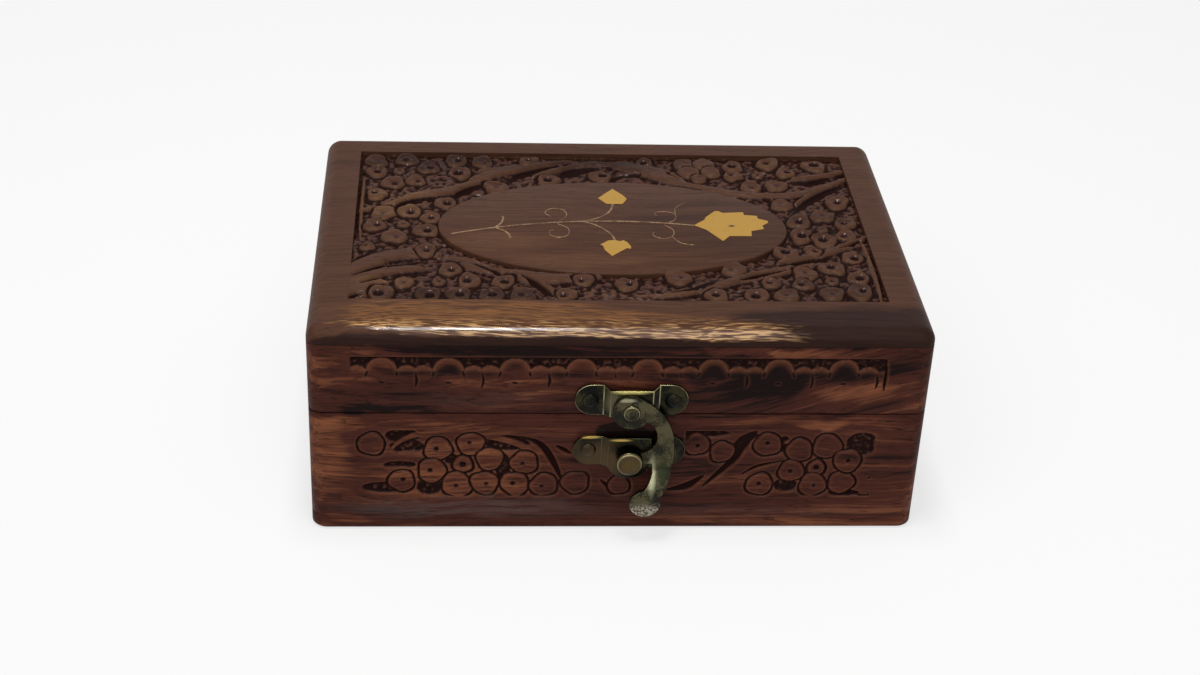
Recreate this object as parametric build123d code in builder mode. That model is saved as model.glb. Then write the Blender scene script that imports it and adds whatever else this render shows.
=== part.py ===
from build123d import *
import os
from math import cos, radians, sin, tan

# Carved rosewood jewelry box with a brass-inlaid medallion on the lid and a swing-hook latch.
# Millimetres. The origin is the middle of the underside, the front faces -Y and +Z is up.

# Outer box
width = 152.0
depth = 105.0
height = 58.0
base_height = 34.5
seam_gap = 0.3
wall = 8.0
floor_thickness = 4.0
top_thickness = 4.2
corner_radius = 3.8
top_round = 3.8
bottom_ease = 0.8
rim_ease = 0.3

# Velvet-covered lining boards
lining = 1.2
lining_clearance = 0.1
lining_reveal = 1.2

# Carving
carve_depth = 1.2
band_depth = 1.0
field_side_margin = 9.5
field_front_margin = 15.0
field_back_margin = 9.5
medallion_length = 91.0
medallion_width = 50.4
medallion_x = 0.5
medallion_y = 1.0
blossom_petal_radius = 3.5
blossom_ring = 6.2
petals_per_blossom = 6
single_petal_radius = 3.0
single_petal_lap = 0.4
flats_per_petal = 8
stem_width = 1.8

# Brass inlay
inlay_depth = 1.0
inlay_clearance = 0.05
wire_width = 0.55

# Hinges, let into the back rims. The back edges are bevelled, and meet just past the lid's full opening.
hinge_end_margin = 32.0
hinge_length = 24.0
hinge_inset = 3.0
hinge_stop_angle = 100.0
knuckles = 3
knuckle_gap = 0.15
barrel_radius = 1.5
barrel_clearance = 0.3
hinge_pin_radius = 0.6
pin_clearance = 0.05
leaf_thickness = 0.8
leaf_end_clearance = 0.1

# Latch
latch_x = 2.4
latch_metal = 0.8
bridge_rise = 1.1
bridge_half = 5.2
bridge_slope = 1.6
plate_length = 27.7
top_plate_rise = 0.1
top_plate_height = 8.6
top_plate_dip = 1.2
pivot_rise = 2.0
pivot_radius = 0.9
pivot_tail_gap = 0.3
pivot_clearance = 0.05
pivot_head_radius = 2.2
pivot_head_height = 0.85
dome_cuts = 3
hook_thickness = 1.0
hook_clearance = 0.1
hook_ring_radius = 4.6
hook_pad_radius = 3.8
hook_tail_lift = 2.7
keeper_drop = 5.9
keeper_height = 11.8
keeper_lobe_drop = 4.2
keeper_centre_radius = 5.6
knob_drop = 14.3
knob_neck_radius = 1.5
knob_head_radius = 3.4
knob_head_gap = 0.9
knob_head_height = 1.2
stud_radius = 0.9
stud_length = 5.0
stud_clearance = 0.05

# Worked-out places
half_width = width / 2
half_depth = depth / 2
lid_bottom = base_height + seam_gap
top_bottom = height - top_thickness
inner_width = width - 2 * wall
inner_depth = depth - 2 * wall
hinge_y = half_depth - hinge_inset
hinge_z = base_height + seam_gap / 2
bevel_drop = hinge_inset * tan(radians(hinge_stop_angle / 2))
pivot_height = lid_bottom + pivot_rise
knob_height = pivot_height - knob_drop
keeper_top = base_height - keeper_drop
bridge_top = latch_metal + bridge_rise
hook_back = bridge_top + hook_clearance
hook_front = hook_back + hook_thickness
front_plane = Plane(origin=(0, -half_depth, 0), x_dir=(1, 0, 0), z_dir=(0, -1, 0))
medallion_plane = Plane(origin=(medallion_x, medallion_y, height))

os.makedirs("parts", exist_ok=True)


def save(builder, name):
    """Label a finished piece and write it as its own file."""
    builder.part.label = name
    export_step(builder.part, f"parts/{name}.step")


def wall_outline(side):
    """Sketch one wall board's plan: side is front, back, left or right."""
    if side in ("front", "back"):
        shift = wall if side == "front" else -wall
        RectangleRounded(width, depth, corner_radius)
        with Locations((0, shift)):
            Rectangle(width, depth, mode=Mode.SUBTRACT)
    else:
        shift = (width - wall) / 2
        with Locations((-shift if side == "left" else shift, 0)):
            Rectangle(wall, inner_depth)


def outer_rim_edges(board, side, group):
    """The edges of a wall board's rim that lie on the outside of the box."""
    edges = board.edges().group_by(Axis.Z)[group]
    if side == "front":
        return edges.sort_by(Axis.Y)[:-1]
    if side == "back":
        return edges.sort_by(Axis.Y)[1:]
    if side == "left":
        return edges.sort_by(Axis.X)[:1]
    return edges.sort_by(Axis.X)[-1:]


def petal(radius, mode=Mode.ADD):
    """Sketch a carved petal: nearly round, with the small flats that a chisel leaves."""
    RegularPolygon(radius, flats_per_petal, mode=mode)


def blossom(start_angle=0.0):
    """Sketch a carved blossom: a ring of petals about its heart."""
    Circle(blossom_ring - blossom_petal_radius / 2)
    with PolarLocations(blossom_ring, petals_per_blossom, start_angle):
        petal(blossom_petal_radius)


def stroke(start, middle, end, line_width):
    """Sketch a carved stem that bends through three points."""
    with BuildLine() as path:
        ThreePointArc(start, middle, end)
    trace(path.line, line_width=line_width)


def hinge_places():
    """The centres of the two hinges along the back."""
    return [hinge_end_margin - half_width, half_width - hinge_end_margin]


def cut_hinge_seats(rim_z, into):
    """Cut the bevel, the leaf mortises and the barrel coves into a back board.

    rim_z is the height of the rim and into is -1 where the wood lies below it, 1 where it lies above.
    """
    with BuildSketch(Plane.YZ) as bevel:
        with BuildLine():
            Polyline(
                (hinge_y, rim_z),
                (half_depth + 1, rim_z),
                (half_depth + 1, rim_z + into * bevel_drop * (hinge_inset + 1) / hinge_inset),
                close=True,
            )
        make_face()
    extrude(bevel.sketch, amount=half_width, both=True, mode=Mode.SUBTRACT)
    mortise_length = hinge_length + 2 * leaf_end_clearance
    for x in hinge_places():
        with Locations((x, hinge_y - (wall - hinge_inset) / 2, rim_z + into * leaf_thickness / 2)):
            Box(mortise_length, wall - hinge_inset, leaf_thickness, mode=Mode.SUBTRACT)
        with Locations((x, hinge_y, hinge_z)):
            Cylinder(
                barrel_radius + barrel_clearance, mortise_length, rotation=(0, 90, 0), mode=Mode.SUBTRACT
            )


# Base: a floor board under four wall boards

with BuildPart() as base_floor_board:
    with BuildSketch():
        RectangleRounded(width, depth, corner_radius)
    extrude(amount=floor_thickness)
    chamfer(edges().group_by(Axis.Z)[0], bottom_ease)
save(base_floor_board, "base_floor_board")

# The base front board carries a band of carved blossoms and stems.
band_bottom = 10.0
band_rim_margin = 5.0
band_left_margin = 11.0
band_right_margin = 12.5
keeper_bed_half = 15.5
band_height = base_height - band_rim_margin - band_bottom
band_left = band_left_margin - half_width
band_right = half_width - band_right_margin
band_z = band_bottom + band_height / 2
# Blossoms and stems, as their distances in from an end of the band and up from its middle
band_left_blossom = (26.0, -0.35)
band_right_blossom = (13.7, -1.15)
band_arch = [(7.5, 1.75), (27, 9.25), (50.5, -5.75)]
band_leaf = [(2, -3.25), (7.5, -1.55), (15, -0.75)]
band_crescent = [(31.3, 7.75), (34, -0.25), (39, -7.75)]


def from_left(point):
    """Place a point of the carving from the band's left end and its middle height."""
    return (band_left + point[0], band_z + point[1])


def from_right(point):
    """Place a point of the carving from the band's right end and its middle height."""
    return (band_right - point[0], band_z + point[1])


with BuildPart() as base_front_board:
    with BuildSketch(Plane.XY.offset(floor_thickness)):
        wall_outline("front")
    extrude(amount=base_height - floor_thickness)
    chamfer(outer_rim_edges(base_front_board, "front", -1), rim_ease)
    with BuildSketch(front_plane) as base_ground:
        with Locations(((band_left + band_right) / 2, band_z)):
            Rectangle(band_right - band_left, band_height)
        with Locations((latch_x, band_z)):
            Rectangle(2 * keeper_bed_half, band_height, mode=Mode.SUBTRACT)
        with BuildSketch(mode=Mode.SUBTRACT):
            with Locations(from_left(band_left_blossom), from_right(band_right_blossom)):
                blossom()
            stroke(*map(from_left, band_arch), stem_width)
            stroke(*map(from_left, band_leaf), stem_width)
            stroke(*map(from_right, band_crescent), stem_width)
    extrude(amount=-band_depth, mode=Mode.SUBTRACT)
    with Locations(front_plane):
        with Locations((latch_x, knob_height)):
            Hole(stud_radius + stud_clearance, stud_length)
save(base_front_board, "base_front_board")

with BuildPart() as base_back_board:
    with BuildSketch(Plane.XY.offset(floor_thickness)):
        wall_outline("back")
    extrude(amount=base_height - floor_thickness)
    cut_hinge_seats(base_height, -1)
save(base_back_board, "base_back_board")

for side in ("left", "right"):
    with BuildPart() as base_side_board:
        with BuildSketch(Plane.XY.offset(floor_thickness)):
            wall_outline(side)
        extrude(amount=base_height - floor_thickness)
        chamfer(outer_rim_edges(base_side_board, side, -1), rim_ease)
    save(base_side_board, f"base_{side}_board")

# Lid: a top board over four wall boards

lid_band_rise = 8.2
lid_band_top_margin = 3.2
lid_band_offset = -2.0
lid_blossom_pitch = 16.0
lid_band_bottom = lid_bottom + lid_band_rise
lid_band_top = top_bottom - lid_band_top_margin
lid_blossoms = int((band_right - band_left) / lid_blossom_pitch)
lid_petal_radius = 3.1
lid_petal_spread = 5.6
lid_petal_rise = 1.0
lid_middle_petal_radius = 4.0
lid_middle_petal_rise = 2.8

with BuildPart() as lid_front_board:
    with BuildSketch(Plane.XY.offset(lid_bottom)):
        wall_outline("front")
    extrude(amount=top_bottom - lid_bottom)
    chamfer(outer_rim_edges(lid_front_board, "front", 0), rim_ease)
    with BuildSketch(front_plane) as lid_ground:
        with Locations(((band_left + band_right) / 2, (lid_band_bottom + lid_band_top) / 2)):
            Rectangle(band_right - band_left, lid_band_top - lid_band_bottom)
        with Locations((lid_band_offset, lid_band_bottom)):
            with GridLocations(lid_blossom_pitch, 1, lid_blossoms, 1):
                with Locations((0, lid_middle_petal_rise)):
                    petal(lid_middle_petal_radius, mode=Mode.SUBTRACT)
                with Locations((-lid_petal_spread, lid_petal_rise), (lid_petal_spread, lid_petal_rise)):
                    petal(lid_petal_radius, mode=Mode.SUBTRACT)
    extrude(amount=-band_depth, mode=Mode.SUBTRACT)
save(lid_front_board, "lid_front_board")

with BuildPart() as lid_back_board:
    with BuildSketch(Plane.XY.offset(lid_bottom)):
        wall_outline("back")
    extrude(amount=top_bottom - lid_bottom)
    cut_hinge_seats(lid_bottom, 1)
save(lid_back_board, "lid_back_board")

for side in ("left", "right"):
    with BuildPart() as lid_side_board:
        with BuildSketch(Plane.XY.offset(lid_bottom)):
            wall_outline(side)
        extrude(amount=top_bottom - lid_bottom)
        chamfer(outer_rim_edges(lid_side_board, side, 0), rim_ease)
    save(lid_side_board, f"lid_{side}_board")


# The lid's top board: a carved field round a smooth oval medallion, which is inlaid with brass.
field_length = width - 2 * field_side_margin
field_width = depth - field_front_margin - field_back_margin
field_y = (field_front_margin - field_back_margin) / 2
field_right = field_length / 2
field_front = field_y - field_width / 2
field_back = field_y + field_width / 2
# Blossoms, as their side and edge of the field and their distances in from these
corner_blossoms = [(-1, 1, 10.5, 10), (1, 1, 23.5, 10.5), (-1, -1, 22, 11.5), (1, -1, 13.5, 12)]
side_blossoms = [(-1, 13, 3), (1, 11, 2)]
# Single petals: a row along the field's front edge, and others that lap the oval at these angles
row_petals = [-58.5, -31.2, -24.2, 24.2, 34.6, 41.4]
row_petal_margin = 3.5
oval_petal_angles = [27, 91, 109, 129, 153, 204, 259, 272, 288, 309, 334]
# Stems, each bending through three points
stems = [
    ((-60, 11), (-48, 20), (-33, 26.5)),
    ((-33, 26.5), (-24, 32), (-14, 37.5)),
    ((-34, 33), (-27, 35), (-20, 38)),
    ((9, 29.5), (29, 22.8), (50, 20.5)),
    ((50, 20.5), (58, 24), (66, 31)),
    ((50, 9.5), (58, 18), (67, 27.5)),
    ((30.5, -26.5), (42, -21.5), (50, -18.5)),
    ((42, -18), (55, -14.5), (67, -7.5)),
    ((-66, -26), (-52, -17.7), (-40, -18.5)),
    ((-24, -24), (-21, -31), (-16, -36)),
]

# Inlay outlines, from the middle of the medallion
flower_outline = [
    (21.25, 0.75), (24.25, 3.75), (24.75, 5.25), (27.5, 8.75), (28.5, 8.75), (29.5, 7.75), (35, 8.25),
    (35.1, 6.75), (38.5, 6.25), (38.5, 4.75), (41, 3.5), (41, 2.5), (39.25, 0.75), (39.5, -1),
    (36, -2.25), (35.75, -5), (30, -5), (28, -7.75), (24.25, -1.75),
]  # fmt: skip
back_bud_outline = [
    (1.1, 21), (3.5, 17.6), (4.6, 15.4), (3.9, 13.6), (3.2, 12.3), (-1, 12.3), (-3.1, 15.5), (-1.3, 18),
]  # fmt: skip
front_bud_outline = [
    (-1.3, -16.2), (-3, -13), (-3.3, -10.8), (-4, -10.2), (-1.8, -8), (0, -7.7), (1.1, -8.3),
    (2.2, -7.8), (3.1, -8.9), (3.9, -11.2), (3.7, -12.3), (2.7, -12),
]  # fmt: skip


def inlay_plate(outline, spread=0.0):
    """Sketch a brass inlay cut to an outline, spread all round for its pocket."""
    with BuildLine() as edge:
        Polyline(*outline, close=True)
    with BuildSketch(mode=Mode.PRIVATE) as plate:
        make_face(edge.line)
        offset(amount=spread)
    add(plate.sketch)


def wire(start, middle, end, spread=0.0, mode=Mode.ADD):
    """Sketch an inlaid wire that bends through three points."""
    with BuildLine() as path:
        ThreePointArc(start, middle, end)
    trace(path.line, line_width=wire_width + 2 * spread, mode=mode)


def main_stem(spread=0.0, mode=Mode.ADD):
    """Sketch the stem wire that runs the length of the medallion to the flower."""
    wire(*stem_wire, spread, mode)


# The stem wire, and the wires that branch from it, each bending through three points
stem_wire = [(-42, -5), (-12, 2), (21.2, 0.65)]
foot_tendrils = [
    [(-30.6, -1.0), (-29, 1.5), (-28.7, 4.8)],
    [(-30.4, -1.8), (-27.9, -3.9), (-26.9, -7.3)],
]
bud_stems = [
    [(-7.6, 2.6), (-1.9, 6), (0.6, 12.2)],
    [(-7.4, 2.1), (-2.4, -2), (-0.1, -7.6)],
]
inlay_plates = {
    "inlay_flower": flower_outline,
    "inlay_back_bud": back_bud_outline,
    "inlay_front_bud": front_bud_outline,
}
inlay_branches = {
    "inlay_foot_tendrils": foot_tendrils,
    "inlay_bud_stems": bud_stems,
}

def beside_oval(angle):
    """The middle of a single petal that laps the medallion's edge, at an angle round the oval."""
    reach = single_petal_radius - single_petal_lap
    x = medallion_x + (medallion_length / 2 + reach) * cos(radians(angle))
    y = medallion_y + (medallion_width / 2 + reach) * sin(radians(angle))
    return x, y


with BuildPart() as lid_top_board:
    with BuildSketch(Plane.XY.offset(top_bottom)):
        RectangleRounded(width, depth, corner_radius)
    extrude(amount=top_thickness)
    fillet(edges().group_by(Axis.Z)[-1], min(top_round, top_thickness - rim_ease))
    with BuildSketch(Plane.XY.offset(height)) as field_ground:
        with Locations((0, field_y)):
            Rectangle(field_length, field_width)
        with BuildSketch(mode=Mode.SUBTRACT) as standing:
            with Locations((medallion_x, medallion_y)):
                Ellipse(medallion_length / 2, medallion_width / 2)
            for across, along, in_x, in_y in corner_blossoms:
                edge_y = field_back if along > 0 else field_front
                with Locations((across * (field_right - in_x), edge_y - along * in_y)):
                    blossom(90)
            for across, in_x, y in side_blossoms:
                with Locations((across * (field_right - in_x), y)):
                    blossom(90)
            with Locations(*[(x, field_front + row_petal_margin) for x in row_petals]):
                petal(single_petal_radius)
            with Locations(*map(beside_oval, oval_petal_angles)):
                petal(single_petal_radius)
            for stem in stems:
                stroke(*stem, stem_width)
    extrude(amount=-carve_depth, mode=Mode.SUBTRACT)
    with BuildSketch(medallion_plane) as pockets:
        for outline in inlay_plates.values():
            inlay_plate(outline, spread=inlay_clearance)
        main_stem(spread=inlay_clearance)
        for branches in inlay_branches.values():
            for branch in branches:
                wire(*branch, spread=inlay_clearance)
    extrude(amount=-inlay_depth, mode=Mode.SUBTRACT)
save(lid_top_board, "lid_top_board")

for name, outline in inlay_plates.items():
    with BuildPart() as inlay_cut:
        with BuildSketch(medallion_plane):
            inlay_plate(outline)
        extrude(amount=-inlay_depth)
    save(inlay_cut, name)

with BuildPart() as inlay_main_stem:
    with BuildSketch(medallion_plane):
        main_stem()
    extrude(amount=-inlay_depth)
save(inlay_main_stem, "inlay_main_stem")

# The branch wires butt against the stem.
for name, branches in inlay_branches.items():
    with BuildPart() as inlay_wires:
        with BuildSketch(medallion_plane):
            for branch in branches:
                wire(*branch)
            main_stem(spread=inlay_clearance, mode=Mode.SUBTRACT)
        extrude(amount=-inlay_depth)
    save(inlay_wires, name)


# Velvet-covered lining boards, which stand on the floor and stop short of the rims

lining_width = inner_width - 2 * lining_clearance
lining_depth = inner_depth - 2 * lining_clearance


def lining_sheet(bottom, thickness):
    """Make the lining board that lies over the whole inside of the base or the lid."""
    with BuildPart() as sheet:
        with BuildSketch(Plane.XY.offset(bottom)):
            Rectangle(lining_width, lining_depth)
        extrude(amount=thickness)
    return sheet


def lining_wall(side, bottom, top):
    """Make the lining board that stands against one wall."""
    with BuildPart() as board:
        with BuildSketch(Plane.XY.offset(bottom)):
            if side in ("front", "back"):
                shift = (lining_depth - lining) / 2
                with Locations((0, -shift if side == "front" else shift)):
                    Rectangle(lining_width, lining)
            else:
                shift = (lining_width - lining) / 2
                with Locations((-shift if side == "left" else shift, 0)):
                    Rectangle(lining, lining_depth - 2 * lining)
        extrude(amount=top - bottom)
    return board


save(lining_sheet(floor_thickness, lining), "base_floor_lining")
save(lining_sheet(top_bottom - lining, lining), "lid_top_lining")
for side in ("front", "back", "left", "right"):
    base_lining = lining_wall(side, floor_thickness + lining, base_height - lining_reveal)
    save(base_lining, f"base_{side}_lining")
    lid_lining = lining_wall(side, lid_bottom + lining_reveal, top_bottom - lining)
    save(lid_lining, f"lid_{side}_lining")

# Butt hinges: a base leaf, a lid leaf and a pin on each side

knuckle_length = hinge_length / knuckles


def hinge_leaf(x, rim_z, into, first_knuckle):
    """Make one leaf with every second knuckle, counted from first_knuckle."""
    leaf_width = wall - hinge_inset
    with BuildPart() as leaf:
        with Locations((x, hinge_y - leaf_width / 2, rim_z + into * leaf_thickness / 2)):
            Box(hinge_length, leaf_width, leaf_thickness)
        for index in range(knuckles):
            centre = (x - hinge_length / 2 + (index + 0.5) * knuckle_length, hinge_y, hinge_z)
            own = index % 2 == first_knuckle
            with Locations(centre):
                if own:
                    Cylinder(barrel_radius, knuckle_length - knuckle_gap, rotation=(0, 90, 0))
                else:
                    Cylinder(
                        barrel_radius + knuckle_gap, knuckle_length + knuckle_gap,
                        rotation=(0, 90, 0), mode=Mode.SUBTRACT,
                    )  # fmt: skip
        with Locations((x, hinge_y, hinge_z)):
            Cylinder(hinge_pin_radius + pin_clearance, hinge_length, rotation=(0, 90, 0), mode=Mode.SUBTRACT)
    return leaf


for x, hand in zip(hinge_places(), ("left", "right")):
    save(hinge_leaf(x, base_height, -1, 0), f"hinge_{hand}_base_leaf")
    save(hinge_leaf(x, lid_bottom, 1, 1), f"hinge_{hand}_lid_leaf")
    with BuildPart() as hinge_pin:
        with Locations((x, hinge_y, hinge_z)):
            Cylinder(hinge_pin_radius, hinge_length, rotation=(0, 90, 0))
    save(hinge_pin, f"hinge_{hand}_pin")


# Latch: two pressed brass plates, and a hook that swings on a rivet and catches a knob


def pressed_section(top):
    """Sketch the plan of a plate whose middle is pressed up into a bridge, as far as top reaches."""
    reach = plate_length
    with BuildLine() as edge:
        Polyline(
            (-reach, 0), (-bridge_foot, 0), (-bridge_half, bridge_rise), (bridge_half, bridge_rise), (bridge_foot, 0),
            (reach, 0), (reach, latch_metal), (bridge_foot, latch_metal), (bridge_half, top), (-bridge_half, top),
            (-bridge_foot, latch_metal), (-reach, latch_metal), close=True,
        )  # fmt: skip
    make_face(edge.line)


def press_plate(outline, stud_z, hole_radius):
    """Cut a latch plate to its outline, press up its bridge, and bore the hole for its stud."""
    with BuildPart() as plate:
        extrude(outline.sketch, amount=bridge_top)
        with BuildSketch(Plane(origin=(latch_x, -half_depth, 0), x_dir=(1, 0, 0), z_dir=(0, 0, -1))) as pressed:
            pressed_section(bridge_top)
        extrude(pressed.sketch, amount=-height, mode=Mode.INTERSECT)
        with Locations(front_plane.offset(bridge_top)):
            with Locations((latch_x, stud_z)):
                Hole(hole_radius)
    return plate


def domed_stud(x, z, seat, head_radius, head_height, shank_radius, shank_depth):
    """Turn a stud whose domed head is seated at a height above the front, and whose shank goes in."""
    cuts = [radians(90 * cut / dome_cuts) for cut in range(dome_cuts)]
    dome = [(head_radius * cos(cut), seat + head_height * sin(cut)) for cut in cuts]
    with BuildSketch(Plane(origin=(x, -half_depth, z), x_dir=(1, 0, 0), z_dir=(0, 0, -1))) as half_profile:
        with BuildLine():
            Polyline(
                *dome, (0, seat + head_height), (0, -shank_depth), (shank_radius, -shank_depth),
                (shank_radius, seat), close=True,
            )  # fmt: skip
        make_face()
    revolve(half_profile.sketch, axis=Axis((x, -half_depth, z), (0, 1, 0)))


top_plate_bottom = lid_bottom + top_plate_rise
top_plate_top = top_plate_bottom + top_plate_height
bridge_foot = bridge_half + bridge_slope
with BuildSketch(front_plane) as top_plate_outline:
    with Locations((latch_x, (top_plate_bottom + top_plate_top) / 2)):
        SlotOverall(plate_length, top_plate_height)
    with Locations((latch_x, top_plate_top)):
        Polygon(
            (-bridge_foot, 0), (-bridge_half, -top_plate_dip), (bridge_half, -top_plate_dip), (bridge_foot, 0),
            align=None, mode=Mode.SUBTRACT,
        )  # fmt: skip
pivot_hole = pivot_radius + stud_clearance
save(press_plate(top_plate_outline, pivot_height, pivot_hole), "latch_top_plate")

keeper_lobe_z = keeper_top - keeper_lobe_drop
keeper_bottom = keeper_top - keeper_height
with BuildSketch(front_plane) as keeper_outline:
    with Locations((latch_x, keeper_lobe_z)):
        SlotOverall(plate_length, 2 * keeper_lobe_drop)
    with Locations((latch_x, keeper_bottom + keeper_centre_radius)):
        Circle(keeper_centre_radius)
stud_hole = stud_radius + stud_clearance
save(press_plate(keeper_outline, knob_height, stud_hole), "latch_keeper_plate")

with BuildPart() as latch_pivot_rivet:
    domed_stud(
        latch_x, pivot_height, hook_front + hook_clearance, pivot_head_radius, pivot_head_height,
        pivot_radius, -pivot_tail_gap,
    )  # fmt: skip
save(latch_pivot_rivet, "latch_pivot_rivet")

with BuildPart() as latch_knob:
    domed_stud(
        latch_x, knob_height, hook_front + knob_head_gap, knob_head_radius, knob_head_height,
        stud_radius, stud_length - stud_clearance,
    )  # fmt: skip
    with BuildSketch(front_plane.offset(bridge_top)):
        with Locations((latch_x, knob_height)):
            Circle(knob_neck_radius)
    extrude(amount=hook_front + knob_head_gap - bridge_top)
save(latch_knob, "latch_knob")

# The hook: a ring on the rivet, a crook with a tooth that catches the knob, and a tail that steps
# outwards, so that its thumb pad passes in front of the knob as the lid goes up. Its points are set
# from the rivet.
hook_plane = Plane(origin=(latch_x, -half_depth, pivot_height), x_dir=(1, 0, 0), z_dir=(0, -1, 0))
crook_start = (3.2, 3.3)
crook_shoulder = (9.0, -2.6)
crook_side = (10.8, -10.5)
crook_heel = (10.3, -17.3)
crook_foot = (7.9, -23.4)
instep_start = (0.6, -23.6)
instep_middle = (4.5, -20.5)
instep_end = (5.9, -17.2)
tooth_root = (5.7, -14.8)
tooth_bottom = (2.9, -14.8)
tooth_top = (2.7, -11.9)
throat_middle = (6.6, -7.9)
throat = (3.8, -2.6)
pad_centre = (4.2, -25.2)
tail_step_top = -16.5
tail_step_bottom = -21.5
tail_step_radius = 2.0
hook_middle = hook_back + hook_thickness / 2
crook_reach = 2 * crook_side[0]

with BuildPart() as latch_hook:
    with BuildSketch(hook_plane):
        with BuildLine():
            ThreePointArc(crook_start, crook_shoulder, crook_side)
            ThreePointArc(crook_side, crook_heel, crook_foot)
            Line(crook_foot, instep_start)
            ThreePointArc(instep_start, instep_middle, instep_end)
            Polyline(instep_end, tooth_root, tooth_bottom, tooth_top)
            ThreePointArc(tooth_top, throat_middle, throat)
            Line(throat, crook_start)
        make_face()
        Circle(hook_ring_radius)
        with Locations(pad_centre):
            Circle(hook_pad_radius)
        Circle(pivot_radius + pivot_clearance, mode=Mode.SUBTRACT)
    extrude(amount=hook_front + hook_tail_lift)
    with BuildSketch(Plane(origin=(latch_x, -half_depth, pivot_height), x_dir=(0, 1, 0), z_dir=(1, 0, 0))):
        with BuildLine():
            FilletPolyline(
                (-hook_middle, hook_ring_radius),
                (-hook_middle, tail_step_top),
                (-hook_middle - hook_tail_lift, tail_step_bottom),
                (-hook_middle - hook_tail_lift, pad_centre[1] - hook_pad_radius),
                radius=tail_step_radius,
            )
        trace(line_width=hook_thickness)
    extrude(amount=crook_reach, both=True, mode=Mode.INTERSECT)
save(latch_hook, "latch_hook")
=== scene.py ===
"""A carved rosewood jewelry box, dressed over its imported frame.

Heights and widths of the carving are in millimetres, and every object is in metres.
"""

import math
import random

import bmesh
import bpy
import numpy as np
from mathutils import Matrix, Vector


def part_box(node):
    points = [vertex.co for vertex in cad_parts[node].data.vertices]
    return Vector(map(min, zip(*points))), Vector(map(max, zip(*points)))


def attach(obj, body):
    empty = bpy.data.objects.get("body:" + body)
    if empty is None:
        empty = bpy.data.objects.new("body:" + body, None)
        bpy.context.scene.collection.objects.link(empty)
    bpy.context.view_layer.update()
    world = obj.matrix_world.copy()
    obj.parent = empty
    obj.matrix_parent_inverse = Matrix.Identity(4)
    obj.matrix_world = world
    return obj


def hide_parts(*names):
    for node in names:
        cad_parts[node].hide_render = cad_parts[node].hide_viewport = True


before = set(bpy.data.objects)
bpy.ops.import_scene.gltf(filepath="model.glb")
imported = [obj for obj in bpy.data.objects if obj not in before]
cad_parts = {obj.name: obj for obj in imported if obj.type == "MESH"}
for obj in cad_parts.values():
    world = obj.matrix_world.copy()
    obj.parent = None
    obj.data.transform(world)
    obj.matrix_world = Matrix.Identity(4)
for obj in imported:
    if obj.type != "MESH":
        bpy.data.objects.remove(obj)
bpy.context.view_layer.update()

bl_info = {
    "name": "Carved jewelry box",
    "version": (1, 0, 0),
    "blender": (4, 5, 0),
    "location": "3D View > Sidebar > Box",
    "description": "Carves, inlays, lines and lights a rosewood jewelry box",
    "category": "Object",
}

MM = 0.001
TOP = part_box("lid_top_board")
LID_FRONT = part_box("lid_front_board")
BASE_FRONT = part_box("base_front_board")
FRONT_Y = BASE_FRONT[0].y / MM
TOP_Z = TOP[1].z / MM

# Sizes that follow the frame's solids, in millimetres

CORNER_RADIUS = 3.8
EDGE_ROUND = 3.8
SMALL_ROUND = 0.25
PANEL_THICKNESS = 3.2
MEDALLION = (0.5, 1.0)
INLAY_PROUD = 0.08
LATCH_X = 2.4
LATCH_PIN_HEIGHTS = {"lid": 39.0, "base": 24.6}
BASE_BAND = (-65.5, 9.5), (64.5, 30.0)
LID_BAND = (-67.0, 41.2), (65.5, 51.2)


def tint(red, green, blue):
    """A colour as a painter's chart gives it, from 0 to 255, made linear for the shader."""
    def linear(value):
        value /= 255
        return value / 12.92 if value <= 0.04045 else ((value + 0.055) / 1.055) ** 2.4
    return (linear(red), linear(green), linear(blue), 1.0)


# Tints that a finish mixes with the colours below

FIBRE_STAIN = tint(58, 34, 26)
GOLD_SHADE = tint(68, 41, 25)
# Painted glints of the lacquer along the front edge
PAINTED_GOLD_GLINT = tint(214, 170, 112)
INLAY_PIN = tint(78, 50, 22)
INLAY_TARNISH = tint(150, 104, 40)
WIRE_TARNISH = tint(84, 58, 42)
HINGE_TARNISH = tint(96, 72, 34)
PILE_SHADE, PILE_DEPTH, PILE_SHEEN = tint(70, 8, 16), tint(40, 4, 10), tint(214, 120, 120)
FLOOR_SPECKLE = tint(235, 235, 236)
WHITE = (1, 1, 1, 1)


# Sizes and colours that a user would change


def length(name, description, millimetres):
    return bpy.props.FloatProperty(
        name=name, description=description, default=millimetres * MM, unit="LENGTH", precision=5
    )


def number(name, description, value):
    return bpy.props.FloatProperty(name=name, description=description, default=value)


def colour(name, description, value):
    return bpy.props.FloatVectorProperty(
        name=name, description=description, default=value, size=4, min=0, max=1, subtype="COLOR"
    )


class BoxCarvingSettings(bpy.types.PropertyGroup):
    """The carved field on the lid and the bands on the front."""

    side_margin: length("Side margin", "Plain wood beside the carved field", 9.5)
    front_margin: length("Front margin", "Plain wood before the carved field", 15.0)
    back_margin: length("Back margin", "Plain wood behind the carved field", 9.5)
    field_depth: length("Field depth", "How deep the ground of the field lies", 1.35)
    gouge_depth: length("Gouge depth", "How deep the crescents beside the leaves are cut", 2.0)
    band_depth: length("Band depth", "How deep the ground of the bands lies", 0.9)
    medallion_length: length("Medallion length", "The smooth oval's length", 91.0)
    medallion_width: length("Medallion width", "The smooth oval's width", 50.4)
    field_pitch: length("Field pitch", "Spacing of the cuts in the field", 0.34)
    band_pitch: length("Band pitch", "Spacing of the cuts in the bands", 0.26)


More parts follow.
